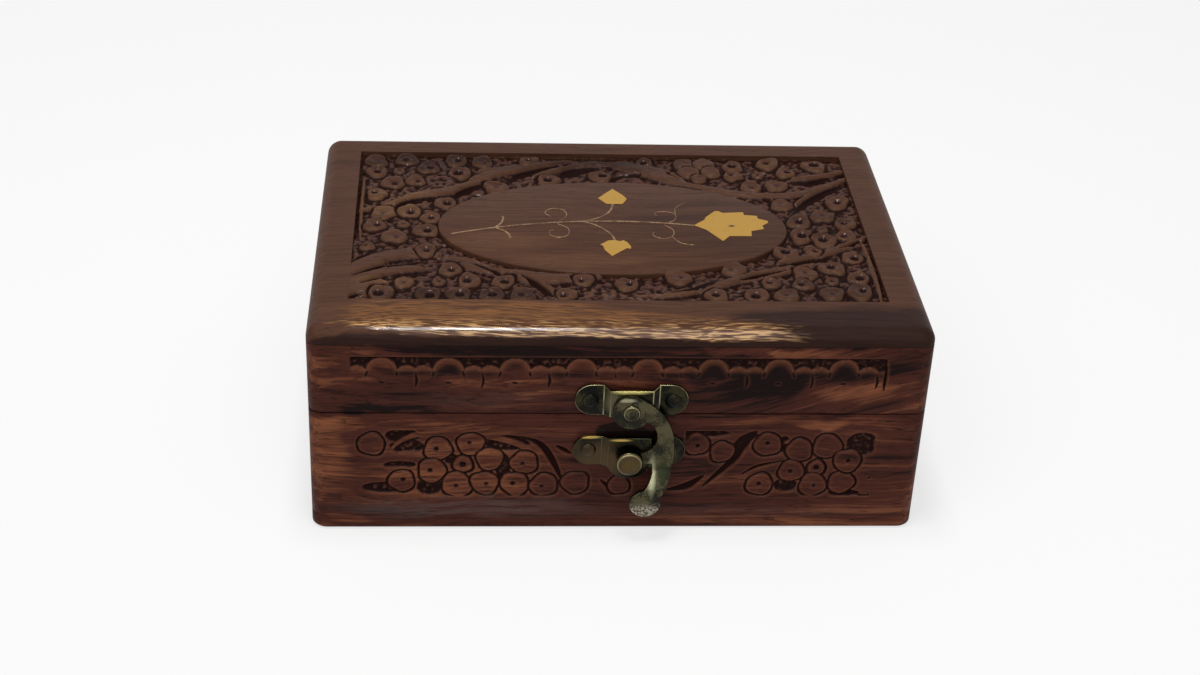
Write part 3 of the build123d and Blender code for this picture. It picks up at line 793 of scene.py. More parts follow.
PETALS = [
    (-62.2, 38.8, 3.1), (-61.8, 32.0, 3.0), (-57.2, 26.2, 3.3), (-51.4, 27.4, 2.8), (-48.0, 35.0, 3.1),
    (-53.8, 39.8, 3.1), (-40.4, 39.4, 3.0), (-33.2, 38.6, 2.9), (-39.2, 32.0, 3.2), (-20.4, 39.8, 2.6),
    (-61.4, 19.0, 2.8), (-59.2, 8.6, 3.4), (-52.6, 9.6, 3.3), (-46.8, 5.8, 3.0), (-61.4, 1.8, 3.2),
    (-56.2, -4.4, 3.3), (-48.0, -1.0, 2.9), (-48.0, -11.8, 2.7), (-62.8, -9.6, 2.0), (-43.2, 14.2, 3.1),
    (-29.6, 23.2, 3.2), (-15.4, 28.0, 3.2), (-1.2, 30.6, 3.1), (11.6, 39.8, 2.4), (36.0, 37.6, 2.9),
    (46.0, 39.4, 3.0), (35.4, 31.6, 2.6), (39.6, 25.4, 3.0), (46.6, 26.0, 3.0), (50.2, 34.0, 2.8),
    (58.8, 38.2, 3.2), (46.6, 15.0, 3.0), (62.0, 16.6, 3.1), (50.0, 5.4, 3.2), (56.6, 8.6, 3.1),
    (62.2, 4.6, 3.1), (49.6, -2.2, 3.1), (55.2, -4.8, 3.3), (61.4, -1.8, 2.9), (44.0, -11.6, 2.9),
    (51.4, -10.4, 2.3), (61.0, -13.8, 3.0), (29.6, -20.2, 3.3), (15.2, -25.0, 3.2), (2.0, -28.4, 3.0),
    (-8.6, -26.2, 2.8), (-13.2, -33.4, 2.9), (-41.8, -21.2, 3.0), (-37.0, -26.8, 2.9), (-28.6, -27.2, 2.7),
    (-53.2, -28.2, 2.6), (-58.6, -33.4, 3.2), (-47.2, -34.0, 3.2), (-39.8, -33.8, 3.2), (-31.4, -33.8, 3.2),
    (-24.0, -34.0, 3.1), (24.0, -33.6, 3.0), (34.2, -33.4, 3.3), (41.6, -33.4, 3.2), (38.4, -27.2, 2.6),
    (47.6, -22.4, 3.0), (55.0, -19.4, 3.1), (61.0, -24.2, 2.9), (60.2, -31.4, 3.3), (53.0, -32.4, 3.3),
    (46.4, -27.6, 2.6),
]
HEARTS = [
    (-55.8, 33.2, 1.7), (42.4, 32.6, 1.8), (-54.0, 2.6, 1.8), (55.8, 1.8, 1.7), (-44.6, -27.4, 1.8),
    (54.0, -25.8, 1.8),
]
LEAVES = [
    (((-66, 9), (-57, 13.2), (-50, 18.4), (-42, 21.4), (-35.5, 25.6), (-30, 30)), 4.2),
    (((-37, 27), (-31, 31), (-22, 35.4), (-12, 38.6)), 4.4),
    (((-34.6, 33.4), (-27, 34.6), (-18, 37.2), (-8, 39.6)), 2.6),
    (((-20, 29.6), (-13, 34.2), (-4, 37.6), (6, 37.4)), 3.0),
    (((2, 37.6), (10, 35.2), (16, 31.4), (22, 26.4)), 7.0),
    (((12, 31), (20, 26.8), (30, 22.6), (40, 20.2), (50, 20.6)), 3.4),
    (((42, 20.2), (50, 20.6), (58, 24.2), (67, 31)), 3.2),
    (((51, 30), (58, 31.6), (67, 35)), 2.4),
    (((47, 10.5), (53, 18.4), (60, 25), (67, 30)), 1.6),
    (((20, -32.4), (27, -27.6), (35, -23.4), (46, -19.6), (51, -18.2)), 3.6),
    (((41, -17), (50, -13.4), (58, -9.4), (67, -2.4)), 3.4),
    (((-68, -21.6), (-59, -15.6), (-51, -13.2), (-44, -14.4)), 5.2),
    (((-68, -28), (-61, -24.4), (-54, -21.8), (-48, -21.4)), 3.4),
    (((-68, -34.6), (-62, -30.6), (-57, -28.4)), 4.6),
    (((-68, -38), (-64, -37.4), (-58, -37.6)), 2.0),
    (((-44, -15.4), (-37, -17.2), (-31, -21.4), (-26, -25)), 2.0),
    (((-29, -23.6), (-20, -26), (-12, -25.4), (-4, -24.6)), 4.6),
    (((-21, -27.6), (-17.4, -31), (-15, -36.8)), 3.0),
    (((8, -34.4), (14, -33.6), (20, -32)), 2.0),
    (((64.9, -5), (65.2, -20), (64.9, -36.6)), 1.7),
    (((-65.0, 30), (-65.1, 12), (-64.9, -6)), 1.3),
]
PLAIN_CORNER = [
    (((-70, -23), (-58, -19)), 6.0),
    (((-70, -29), (-59, -25)), 7.0),
    (((-70, -35), (-61, -31)), 7.0),
    (((-40, -19.5), (-30, -22.5), (-13, -26)), 3.4),
]
GOUGES = [
    (((-57, 10.4), (-53.2, 14.8), (-46, 17.6)), 2.8),
    (((-42, 16.6), (-38.2, 21.4), (-33, 25.4)), 3.2),
    (((-27.4, 25), (-24.4, 30.2), (-17, 34.4), (-8, 37.8)), 4.0),
    (((-13, 29.6), (-9.4, 33.2), (-1.5, 35.8)), 4.6),
    (((1.6, 27), (3.6, 31.2), (10.4, 32)), 3.0),
    (((12.4, 26.4), (19, 25.4), (26, 22.8)), 1.6),
    (((48.4, 9.4), (53.6, 16.4), (59, 22), (66, 27.4)), 3.6),
    (((51, 27.6), (57, 29), (62.6, 31.6)), 3.0),
    (((51, 33), (59, 33.6), (66.4, 35.6)), 1.5),
    (((-67.2, -20), (-64.8, -15.2), (-60.4, -10.6)), 2.6),
    (((-66.2, -25.8), (-61, -21.8), (-54, -18.2), (-46, -17)), 2.6),
    (((-64, -29.4), (-59.4, -26.6), (-54.4, -25.4)), 2.0),
    (((-67.2, -37.2), (-65, -35), (-62, -34)), 2.0),
    (((-36.4, -18.6), (-32.6, -21), (-29, -24.4)), 2.8),
    (((-24.2, -24.4), (-20.2, -28.6), (-15.8, -35.6)), 2.2),
    (((12, -32), (18, -29.6), (25.4, -24.8)), 2.2),
    (((30.2, -26.6), (36, -23.4), (44, -20.8)), 2.2),
    (((42.6, -18.4), (50, -15.2), (57.4, -13.4)), 1.6),
    (((29, -17), (35, -14.6), (42, -9)), 2.2),
    (((58, -9.6), (62, -7), (65, -4.4)), 1.4),
    (((-66.2, 42.4), (-66.2, 20), (-66.3, -9.4)), 0.9),
    (((-66, 42.2), (-30, 42.3), (10, 42.3), (66, 42.2)), 1.8),
    (((20.6, 37.6), (17.6, 33), (20.6, 28.8)), 1.3),
]
LOBED_LEAF = [(22.6, 38.4, 3.2), (28.0, 38.6, 3.2), (29.4, 33.6, 3.0), (23.4, 33.2, 3.2), (25.8, 29.6, 2.2)]

# The carving's plan on the front, across the box and up from the floor. The grounds are ovals that are
# cut away between the petals: a middle and two reaches.

BAND_DISCS = [
    (-60.8, 25.5, 3.3), (-44.5, 24, 3.4), (-36.5, 25.5, 3.4), (-31.8, 21, 3.3), (-46, 17.5, 3.4),
    (-39.8, 13.3, 3.6), (-33, 13.8, 3.3), (-53.5, 14.5, 3.3), (-23.3, 20, 3.4), (-25.5, 13.5, 3.4),
    (-18.3, 13.3, 3.3), (-10.5, 14, 3.5), (0.4, 13.2, 2.8), (19.3, 25.5, 3.2), (25.8, 23.3, 3.0),
    (37, 25.5, 3.5), (35.8, 13.5, 3.3), (45, 23.8, 3.3), (52, 25, 3.6), (43.5, 17.5, 3.3),
    (49.3, 13.3, 3.4), (56.5, 14, 3.3), (57.4, 20.6, 3.4),
]
BAND_HEARTS = [(-38.4, 19.4, 2.5), (49.8, 18.5, 2.3)]
BAND_LEAVES = [
    (((-57.5, 21.5), (-54, 26), (-48, 28.7), (-40, 28.9), (-33, 28), (-24, 25), (-19, 20), (-16, 14.5)), 2.0),
    (((-58, 20.6), (-53, 22.4), (-47.5, 22.8)), 2.0),
    (((-63, 16.2), (-58, 17.8), (-51, 18.2)), 1.8),
    (((41, 25.8), (45, 27.4), (49.6, 27.4)), 1.6),
    (((20.6, 12), (26, 15.6), (30.4, 21), (32.6, 27)), 2.2),
]
BAND_GOUGES = [
    (((-25, 27.8), (-19.5, 25.5), (-16, 20), (-13.5, 13.6)), 2.3),
    (((-15.6, 25.2), (-11.6, 22.6)), 1.4),
    (((34.6, 28.6), (31, 25.4), (28.4, 20.6), (21.4, 12.8)), 2.8),
    (((34, 29.4), (31.6, 27), (29.6, 24), (28.6, 20.6)), 4.6),
    (((21.6, 16.2), (17.4, 12.9), (12.4, 11.8)), 2.6),
    (((-4.3, 15), (-1.7, 12.3), (1.7, 10.3)), 1.3),
    (((31, 16.5), (35, 19), (42, 20.8)), 1.0),
    (((63, 15.4), (65, 16.6), (64.6, 19)), 0.9),
    (((60, 10.6), (63.6, 10), (64.6, 12.6)), 0.9),
]
BAND_GROUNDS = [
    (-53.2, 27.8, 4.8, 2.4), (-52, 24.8, 4.8, 2.2), (-27.6, 25.8, 6.4, 2.6), (-53.8, 19.3, 4.4, 1.2),
    (-57.6, 12.5, 6.4, 1.8), (-46.6, 12.8, 3.6, 2.9), (-28.5, 18.6, 2.1, 4.6), (19, 28.9, 9.6, 1.4),
    (60.6, 25.6, 4.6, 3.9), (42.4, 13.2, 3.4, 2.3), (41, 25.4, 1.9, 2.8), (57.4, 10.8, 4.4, 1.2),
    (-41.4, 21, 2.0, 1.8),
]


class BOX_OT_carve_lid(bpy.types.Operator):
    """Carve the lid's field and set its smooth medallion"""

    bl_idname = "box.carve_lid"
    bl_label = "Carve the lid"

    def execute(self, context):
        sizes = context.scene.box_carving
        half_width, half_depth = TOP[1].x / MM, TOP[1].y / MM
        low = (-half_width + sizes.side_margin / MM, -half_depth + sizes.front_margin / MM)
        high = (half_width - sizes.side_margin / MM, half_depth - sizes.back_margin / MM)
        self.board(low, high)
        self.field(sizes, low, high)
        self.medallion(sizes)
        return {"FINISHED"}

    def board(self, low, high):
        """The board itself: rounded corners, a rounded-over edge and a sunk field."""
        bottom = TOP[0].z / MM
        mesh = block(in_millimetres(TOP[0]), in_millimetres(TOP[1]))
        rounded(mesh, [e for e in mesh.edges if rise_of(e) > MM], CORNER_RADIUS, segments=10)
        crown = [e for e in mesh.edges if all(v.co.z > (TOP_Z - 0.01) * MM for v in e.verts)]
        rounded(mesh, crown, EDGE_ROUND, segments=10)
        foot = [e for e in mesh.edges if all(v.co.z < (bottom + 0.01) * MM for v in e.verts)]
        rounded(mesh, foot, SMALL_ROUND, segments=2)
        bmesh.ops.recalc_face_normals(mesh, faces=mesh.faces)
        recessed(mesh, (0, 0, 1), (*low, TOP_Z), (*high, TOP_Z))
        piece(mesh, "lid_board", FINISHES["lid"], "lid", "rosewood", "lid_top_board", sharp=50)

    def field(self, sizes, low, high):
        """The carved panel round the medallion."""
        draw = random.Random(5)
        relief = Relief(low, high, sizes.field_pitch / MM, seed=11)
        relief.punch(sizes.field_depth / MM, roughness=0.5, painted_shade=0.46)
        for points, width in PLAIN_CORNER:
            relief.leaf(points, width, top=0.0, ridge=0.0, blunt=0.05)
        for points, width in LEAVES:
            relief.leaf(points, width)
        for points, width in GOUGES:
            relief.gouge(points, width, sizes.gouge_depth / MM)
        for x, y, radius in HEARTS:
            relief.petal(x, y, radius, top=-0.35, dish=0.3, eye=0.5)
        for x, y, radius in LOBED_LEAF:
            relief.petal(x, y, radius, top=-0.05, dish=0.25, eye=0.0, moat=0.5)
        for x, y, radius in PETALS:
            relief.petal(
                x, y, radius, turn=draw.uniform(0, 3.1), stretch=draw.uniform(0.95, 1.3),
                top=-draw.uniform(0.04, 0.24), dish=draw.uniform(0.4, 0.8),
                eye=draw.choice((0.2, 0.4, 0.6, 0.8)), lean=(draw.uniform(-0.8, 0.8), draw.uniform(-0.8, 0.8)),
                point=draw.uniform(0.26, 0.46), moat=1.3, wobble=0.08,
            )
        height = relief.finished(marks=0.09)
        span = relief.oval(MEDALLION, (sizes.medallion_length / MM / 2, sizes.medallion_width / MM / 2))
        under = smooth_step((0.985 - span) * 30)
        # Painted shade along the foot of the medallion's wall
        rim = smooth_step(1.3 - np.abs(span - 0.995) / 0.022) * (height < -0.3)
        relief.painted_shade = np.maximum(relief.painted_shade, rim)
        bed_depth = 1.5
        mesh = carved_slab(relief, height * (1 - under) - bed_depth * under, upright=False)
        piece(mesh, "lid_carving", FINISHES["carving"], "lid", "rosewood", sharp=0)

    def medallion(self, sizes):
        """The smooth oval, a little lower than the brass that is let into it."""
        thickness, round_over = 2.4, 0.45
        mesh = bmesh.new()
        bmesh.ops.create_circle(mesh, cap_ends=True, cap_tris=False, segments=160, radius=0.5)
        bmesh.ops.scale(mesh, vec=(sizes.medallion_length, sizes.medallion_width, 1), verts=mesh.verts)
        bmesh.ops.translate(mesh, vec=Vector((*MEDALLION, TOP_Z - INLAY_PROUD)) * MM, verts=mesh.verts)
        lower = corners_of(bmesh.ops.extrude_face_region(mesh, geom=mesh.faces[:])["geom"])
        bmesh.ops.translate(mesh, vec=(0, 0, -thickness * MM), verts=lower)
        bmesh.ops.recalc_face_normals(mesh, faces=mesh.faces)
        rim = [e for e in mesh.edges if all(v.co.z > (TOP_Z - 1) * MM for v in e.verts)]
        rounded(mesh, rim, round_over, segments=4)
        piece(mesh, "lid_medallion", FINISHES["lid"], "lid", "rosewood")


class BOX_OT_carve_front(bpy.types.Operator):
    """Carve the bands on the front of the lid and of the base"""

    bl_idname = "box.carve_front"
    bl_label = "Carve the front"

    # The plain bed behind the latch: half its width, and the height where it ends
    base_bed, lid_bed = (14.4, 17.4), (14.6, 45.4)

    # The row of half blossoms on the lid: their middles, their petals as ovals, and the ground above
    blossoms = [-58 + 16 * index for index in range(8)]
    blossom_petals = ((-6, 44.6, 3.1, 3.2), (6, 44.6, 3.1, 3.2), (0, 46, 3.7, 4.1))
    ground = (46.6, 50.7)

    def execute(self, context):
        sizes = context.scene.box_carving
        depth, pitch = sizes.band_depth / MM, sizes.band_pitch / MM
        self.base_band(depth, pitch)
        self.lid_band(depth, pitch)
        return {"FINISHED"}

    def board(self, low, high, box, name, node, body):
        """A front board: two rounded corners and a recess for its carved band."""
        mesh = block((box[0].x / MM, FRONT_Y, box[0].z / MM), in_millimetres(box[1]))
        corners = [
            e for e in mesh.edges if rise_of(e) > MM and all(v.co.y < (FRONT_Y + 1) * MM for v in e.verts)
        ]
        rounded(mesh, corners, CORNER_RADIUS, segments=10)
        rims = [e for e in mesh.edges if rise_of(e) < 0.01 * MM and e.calc_face_angle(0) > 1]
        rounded(mesh, rims, SMALL_ROUND, segments=2)
        bmesh.ops.recalc_face_normals(mesh, faces=mesh.faces)
        recessed(mesh, (0, -1, 0), (low[0], FRONT_Y, low[1]), (high[0], FRONT_Y, high[1]))
        piece(mesh, name, FINISHES["front"], body, "rosewood", node, sharp=50)

    def bed(self, relief, half_width, inwards):
        """1 on the plain wood behind the latch, and 0 beside it and outside its end."""
        return smooth_step((half_width - np.abs(relief.u - LATCH_X)) / 0.8) * smooth_step(inwards / 0.8)

    def base_band(self, depth, pitch):
        """Petals, leaves and crescents on the base, with a plain bed behind the latch."""
        low, high = BASE_BAND
        self.board(low, high, BASE_FRONT, "base_front", "base_front_board", "base")
        relief = Relief(low, high, pitch, seed=23)
        draw = random.Random(9)
        near = np.zeros(relief.u.shape)
        for x, z, reach_x, reach_z in BAND_GROUNDS:
            near = np.maximum(near, smooth_step((1.0 - relief.oval((x, z), (reach_x, reach_z))) * 4))
        relief.punch(depth, roughness=0.4, painted_shade=0.72, where=near)
        for points, width in BAND_LEAVES:
            relief.leaf(points, width, top=0.0, ridge=0.15, wall=0.3)
        for points, width in BAND_GOUGES:
            relief.gouge(points, width, depth * 1.3)
        for x, z, radius in BAND_HEARTS:
            relief.petal(x, z, radius, top=0.0, dish=0.2, eye=0.8, moat=0.9, line=0.5)
        for x, z, radius in BAND_DISCS:
            relief.petal(
                x, z, radius, turn=draw.uniform(0, 3.1), stretch=draw.uniform(0.96, 1.1), top=0.0, dish=0.12,
                eye=draw.choice((0.0, 0.5, 0.8)), lean=(draw.uniform(-0.5, 0.5), draw.uniform(-0.5, 0.5)),
                point=0.15, moat=0.8, wall=0.25, line=0.42,
            )
        half_width, end = self.base_bed
        bed = self.bed(relief, half_width, relief.v - end)
        bounds = between(relief.v, low[1] + 0.2, high[1] - 0.2, 0.5, 0.5)
        kept = (1 - bed) * bounds * between(relief.u, low[0], high[0], 1.5, 1.5)
        relief.painted_shade *= kept
        mesh = carved_slab(relief, relief.finished(marks=0.04) * kept, upright=True)
        piece(mesh, "base_carving", FINISHES["front_carving"], "base", "rosewood", sharp=0)

    def lid_band(self, depth, pitch):
        """Half blossoms in a row along the lid's front, with a plain bed behind the latch."""
        low, high = LID_BAND
        self.board(low, high, LID_FRONT, "lid_front", "lid_front_board", "lid")
        relief = Relief(low, high, pitch, seed=31)
        strip = between(relief.v, *self.ground, 0.3, 0.4)
        strip = strip * between(relief.u, low[0] + 1, high[0] - 1, 1.2, 0.6)
        inside = np.full(relief.u.shape, -9.0)
        for x in self.blossoms:
            for shift, z, reach_x, reach_z in self.blossom_petals:
                inside = np.maximum(inside, (1 - relief.oval((x + shift, z), (reach_x, reach_z))) * reach_x)
        relief.punch(depth, roughness=0.4, painted_shade=0.7, where=smooth_step(-inside / 0.25) * strip)
        sloped = -0.8 * depth * np.clip(1 - inside / 1.5, 0, 1) ** 1.5 * (inside > 0)
        relief.height = np.minimum(relief.height, sloped * strip)
        # Painted light on the sloped tops of the half blossoms
        relief.wear_and_highlight = np.clip(-sloped * 2.4, 0, 1.4) * strip
        for x in self.blossoms:
            relief.gouge([(x - 0.8, 43.6), (x + 0.8, 43.3)], 0.8, 0.35)
            relief.gouge([(x + 8, 46.6), (x + 8.4, 44), (x + 8, 42)], 0.8, 0.5)
            for side in (1, -1):
                relief.gouge([(x + 3.3 * side, 46.8), (x + 3.9 * side, 45)], 0.7, 0.4)
        relief.gouge([(64.2, 49.6), (64.3, 45), (64.1, 41.4)], 1.0, 0.9)
        half_width, end = self.lid_bed
        kept = 1 - self.bed(relief, half_width, end - relief.v)
        relief.painted_shade *= kept
        mesh = carved_slab(relief, relief.finished(marks=0.04) * kept, upright=True)
        piece(mesh, "lid_band_carving", FINISHES["front_carving"], "lid", "rosewood", sharp=0)


class BOX_OT_boards(bpy.types.Operator):
    """Ease and finish the plain boards"""

    bl_idname = "box.boards"
    bl_label = "Finish the boards"

    def execute(self, context):
        for body in ("base", "lid"):
            dressed(f"{body}_back_board", f"{body}_back", FINISHES["front"], body, "rosewood", 0.2)
            for side in ("left", "right"):
                dressed(f"{body}_{side}_board", f"{body}_{side}", FINISHES["side"], body, "rosewood", 0.2)
        dressed("base_floor_board", "base_floor", FINISHES["front"], "base", "rosewood", 0.25)
        return {"FINISHED"}


class BOX_OT_inlay(bpy.types.Operator):
    """Finish the brass inlay and lay its thin scroll wires"""

    bl_idname = "box.inlay"
    bl_label = "Lay the inlay"

    scrolls = [
        [(-14.4, 1.9), (-12, 5.4), (-12.6, 8.6), (-15.2, 9.6), (-17.2, 8.2), (-17.4, 6.6), (-16.1, 4.9)],
        [(-14.6, 1.1), (-11.9, -1.4), (-12, -4.9), (-14.4, -6.4), (-16.5, -5.2), (-16.7, -3.2), (-15.8, -2.4)],
        [(13.4, 1.2), (16.4, 3.7), (16.8, 6.8), (15, 8.2), (12.3, 8.1), (11.4, 7), (11.8, 5.9)],
        [(16.9, 7.2), (17.2, 10.4), (19.8, 13.5)],
        [(13.6, 0.6), (15.5, -1.8), (15.2, -5), (12.9, -6.6), (10.6, -5.6), (10, -4.2), (10.4, -3.2)],
        [(15, -5.6), (17, -8.9), (20.4, -9.9)],
    ]
    wire_radius = 0.16

    def execute(self, context):
        for node in ("inlay_flower", "inlay_back_bud", "inlay_front_bud"):
            painted(node, FINISHES["inlay"])
        for node in ("inlay_main_stem", "inlay_foot_tendrils", "inlay_bud_stems"):
            painted(node, FINISHES["wire"])
        mesh = bmesh.new()
        for points in self.scrolls:
            self.wire(mesh, curve_through(points))
        piece(mesh, "scroll_wires", FINISHES["wire"], "lid", "inlay_wire")
        return {"FINISHED"}

    def wire(self, mesh, path):
        """Sweep a round wire along a flat path, closed at both ends."""
        rings = []
        for index, point in enumerate(path):
            before, after = path[max(index - 1, 0)], path[min(index + 1, len(path) - 1)]
            along = Vector((after[0] - before[0], after[1] - before[1], 0)).normalized()
            across = Vector((-along.y, along.x, 0))
            made = bmesh.ops.create_circle(mesh, segments=8, radius=self.wire_radius * MM)["verts"]
            place = Vector((point[0] + MEDALLION[0], point[1] + MEDALLION[1], TOP_Z - self.wire_radius)) * MM
            turn = Matrix((across, Vector((0, 0, 1)), along)).transposed().to_4x4()
            bmesh.ops.transform(mesh, matrix=Matrix.Translation(place) @ turn, verts=made)
            rings.append(made)
        edges = [[e for e in mesh.edges if all(v in ring for v in e.verts)] for ring in rings]
        for first, second in zip(edges, edges[1:]):
            bmesh.ops.bridge_loops(mesh, edges=first + second)
        for end in (edges[0], edges[-1]):
            bmesh.ops.contextual_create(mesh, geom=end)
        bmesh.ops.recalc_face_normals(mesh, faces=mesh.faces)


class BOX_OT_linings(bpy.types.Operator):
    """Cover the lining boards in velvet"""

    bl_idname = "box.linings"
    bl_label = "Line the inside"

    soft_edge = 0.5

    def execute(self, context):
        for body, closed_end in (("base", "floor"), ("lid", "top")):
            for side in (closed_end, "front", "back", "left", "right"):
                node = f"{body}_{side}_lining"
                low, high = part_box(node)
                mesh = block(low / MM, high / MM)
                eased(mesh, self.soft_edge, segments=3)
                piece(mesh, f"{body}_{side}_velvet", FINISHES["velvet"], body, "velvet", node)
        return {"FINISHED"}


def domed_head(centre, radius, height, out):
    """A pin's domed head, in millimetres, that stands out along a direction."""
    mesh = bmesh.new()
    bmesh.ops.create_uvsphere(mesh, u_segments=28, v_segments=14, radius=1.0)
    bmesh.ops.scale(mesh, vec=(radius * MM, radius * MM, height * MM), verts=mesh.verts)
    turn = Vector((0, 0, 1)).rotation_difference(Vector(out)).to_matrix()
    bmesh.ops.rotate(mesh, cent=(0, 0, 0), matrix=turn, verts=mesh.verts)
    bmesh.ops.translate(mesh, vec=Vector(centre) * MM, verts=mesh.verts)
    return mesh


class BOX_OT_hinges(bpy.types.Operator):
    """Finish the hinges and drive their screws"""

    bl_idname = "box.hinges"
    bl_label = "Fit the hinges"

    screw_radius, screw_taper = 1.3, 0.96
    screw_thickness, screw_sunk = 0.12, 0.02
    screw_inset, screw_back = 5.5, 2.2

    def execute(self, context):
        finish = FINISHES["hinge"]
        for hand in ("left", "right"):
            for body in ("base", "lid"):
                dressed(f"hinge_{hand}_{body}_leaf", f"hinge_{hand}_{body}", finish, body, "hinge_brass", 0.08)
            painted(f"hinge_{hand}_pin", finish)
            for body, out in (("base", 1), ("lid", -1)):
                self.screws(hand, body, out)
        return {"FINISHED"}

    def screws(self, hand, body, out):
        """Two countersunk heads in a leaf, just below its face."""
        low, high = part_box(f"hinge_{hand}_{body}_leaf")
        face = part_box(f"{body}_back_board")[1 if body == "base" else 0].z
        y = low.y + self.screw_back * MM
        mesh = bmesh.new()
        for x in (low.x + self.screw_inset * MM, high.x - self.screw_inset * MM):
            made = bmesh.ops.create_cone(
                mesh, cap_ends=True, segments=28, radius1=self.screw_radius * MM,
                radius2=self.screw_radius * self.screw_taper * MM, depth=self.screw_thickness * MM,
            )["verts"]
            bmesh.ops.translate(mesh, vec=(x, y, face + out * self.screw_sunk * MM), verts=made)
        piece(mesh, f"hinge_{hand}_{body}_screws", FINISHES["hook"], body, "hinge_brass")


class BOX_OT_latch(bpy.types.Operator):
    """Finish the latch and drive its pins"""

    bl_idname = "box.latch"
    bl_label = "Fit the latch"

    pin_radius, pin_height = 2.0, 1.2
    pin_spread, pin_out = 10.1, 0.7

    def execute(self, context):
        plate, hook = FINISHES["plate"], FINISHES["hook"]
        for node, name, finish, body, radius, segments in (
            ("latch_top_plate", "top_plate", plate, "lid", 0.22, 2),
            ("latch_keeper_plate", "keeper_plate", plate, "base", 0.22, 2),
            ("latch_pivot_rivet", "rivet", hook, "lid", 0.12, 2),
            ("latch_knob", "knob", hook, "base", 0.2, 2),
            ("latch_hook", "hook", hook, "hook", 0.3, 3),
        ):
            dressed(node, name, finish, body, "latch_brass", radius, segments, wear_and_highlight=True)
        for body, height in LATCH_PIN_HEIGHTS.items():
            for hand, side in (("left", -1), ("right", 1)):
                x = LATCH_X + side * self.pin_spread
                middle = (x, FRONT_Y - self.pin_out, height)
                mesh = domed_head(middle, self.pin_radius, self.pin_height, (0, -1, 0))
                piece(mesh, f"{body}_{hand}_pin", plate, body, "latch_brass")
        return {"FINISHED"}


class BOX_OT_stage(bpy.types.Operator):
    """Lay the floor, hang the lamps and set the camera"""

    bl_idname = "box.stage"
    bl_label = "Set the stage"

    sun_from, sun_width = (-0.2, -0.6, 0.79), math.radians(70)
    lamp_place, lamp_aim = (-0.03, -0.05, 0.65), (-0.03, -0.05, 0.05)
    lamp_size = {"shape": "RECTANGLE", "size": 0.09, "size_y": 0.2}

    # Solved from the box's corners in the photograph: radians, and millimetres in the frame
    yaw, pitch, roll = 0.08312, 0.5452, 0.0484
    camera_place = (-40.613, -467.834, 309.243)

    def execute(self, context):
        settings = context.scene.box_stage
        self.floor(settings)
        self.room(context.scene, settings)
        self.light("soft_sun", "SUN", settings.sun_strength, self.sun_from, (0, 0, 0), angle=self.sun_width)
        self.light(
            "small_lamp", "AREA", settings.lamp_power, self.lamp_place, self.lamp_aim, **self.lamp_size
        )
        self.camera(context.scene, settings)
        return {"FINISHED"}

    def floor(self, settings):
        mesh = bmesh.new()
        bmesh.ops.create_grid(mesh, x_segments=1, y_segments=1, size=settings.floor_size / 2)
        data = bpy.data.meshes.new("floor")
        mesh.to_mesh(data)
        mesh.free()
        data.materials.append(self.floor_paint(settings))
        made = bpy.data.objects.new("floor", data)
        bpy.context.scene.collection.objects.link(made)

    def floor_paint(self, settings):
        """Pale paint that keeps the shadow, and is nearer to white where the camera or a mirror sees it."""
        paint = Finish("floor_paint")
        speckle = paint.noise(paint.place(), scale=30.0)
        shade = paint.mix(speckle * 0.02, tuple(settings.floor_colour), FLOOR_SPECKLE)
        matt = paint.node("ShaderNodeBsdfDiffuse", {}, {"Color": shade})
        white = paint.node("ShaderNodeEmission", {}, {"Color": WHITE, "Strength": 1.0})
        share = seen(paint) * settings.floor_white
        both = paint.node("ShaderNodeMixShader", {}, {0: share, 1: matt, 2: white})
        paint.node("ShaderNodeOutputMaterial", {}, {"Surface": both})
        return paint.material

    def room(self, scene, settings):
        """An even pale room, white where the camera or a mirror sees it."""
        scene.world = bpy.data.worlds.new("room")
        scene.world.use_nodes = True
        air = Finish(None, scene.world.node_tree)
        dim, white = (
            air.node("ShaderNodeBackground", {}, {"Color": WHITE, "Strength": strength})
            for strength in (settings.room_strength, 1.0)
        )
        both = air.node("ShaderNodeMixShader", {}, {0: seen(air), 1: dim, 2: white})
        air.node("ShaderNodeOutputWorld", {}, {"Surface": both})

    def light(self, name, kind, strength, place, aim, **sizes):
        data = bpy.data.lights.new(name, kind)
        data.energy = strength
        for key, value in sizes.items():
            setattr(data, key, value)
        made = bpy.data.objects.new(name, data)
        made.location = place
        made.rotation_euler = (Vector(aim) - Vector(place)).to_track_quat("-Z", "Y").to_euler()
        bpy.context.scene.collection.objects.link(made)

    def camera(self, scene, settings):
        """Stand the camera where the photograph was taken from."""
        yaw, pitch, roll = self.yaw, self.pitch, self.roll
        place = Vector(self.camera_place) * MM
        ahead = Vector((math.sin(yaw) * math.cos(pitch), math.cos(yaw) * math.cos(pitch), -math.sin(pitch)))
        level = Vector((math.cos(yaw), -math.sin(yaw), 0))
        raised = level.cross(ahead)
        right = level * math.cos(roll) + raised * math.sin(roll)
        up = raised * math.cos(roll) - level * math.sin(roll)
        data = bpy.data.cameras.new("camera")
        data.lens = settings.lens
        data.sensor_width = 36.0
        data.clip_start, data.clip_end = 0.01, 50
        made = bpy.data.objects.new("camera", data)
        made.matrix_world = Matrix.Translation(place) @ Matrix((right, up, -ahead)).transposed().to_4x4()
        scene.collection.objects.link(made)
        scene.camera = made
        scene.view_settings.view_transform = "Standard"


# Every finish by name, mixed by mix_finishes

FINISHES = {}

# Spots where the wood is lighter, or darker below 0: centre and reach in millimetres, and amount.
# Most are the wood's own tone; the dark spots under the lid's rounded edge are partly painted shade,
# and the one between the latch plates is painted shadow

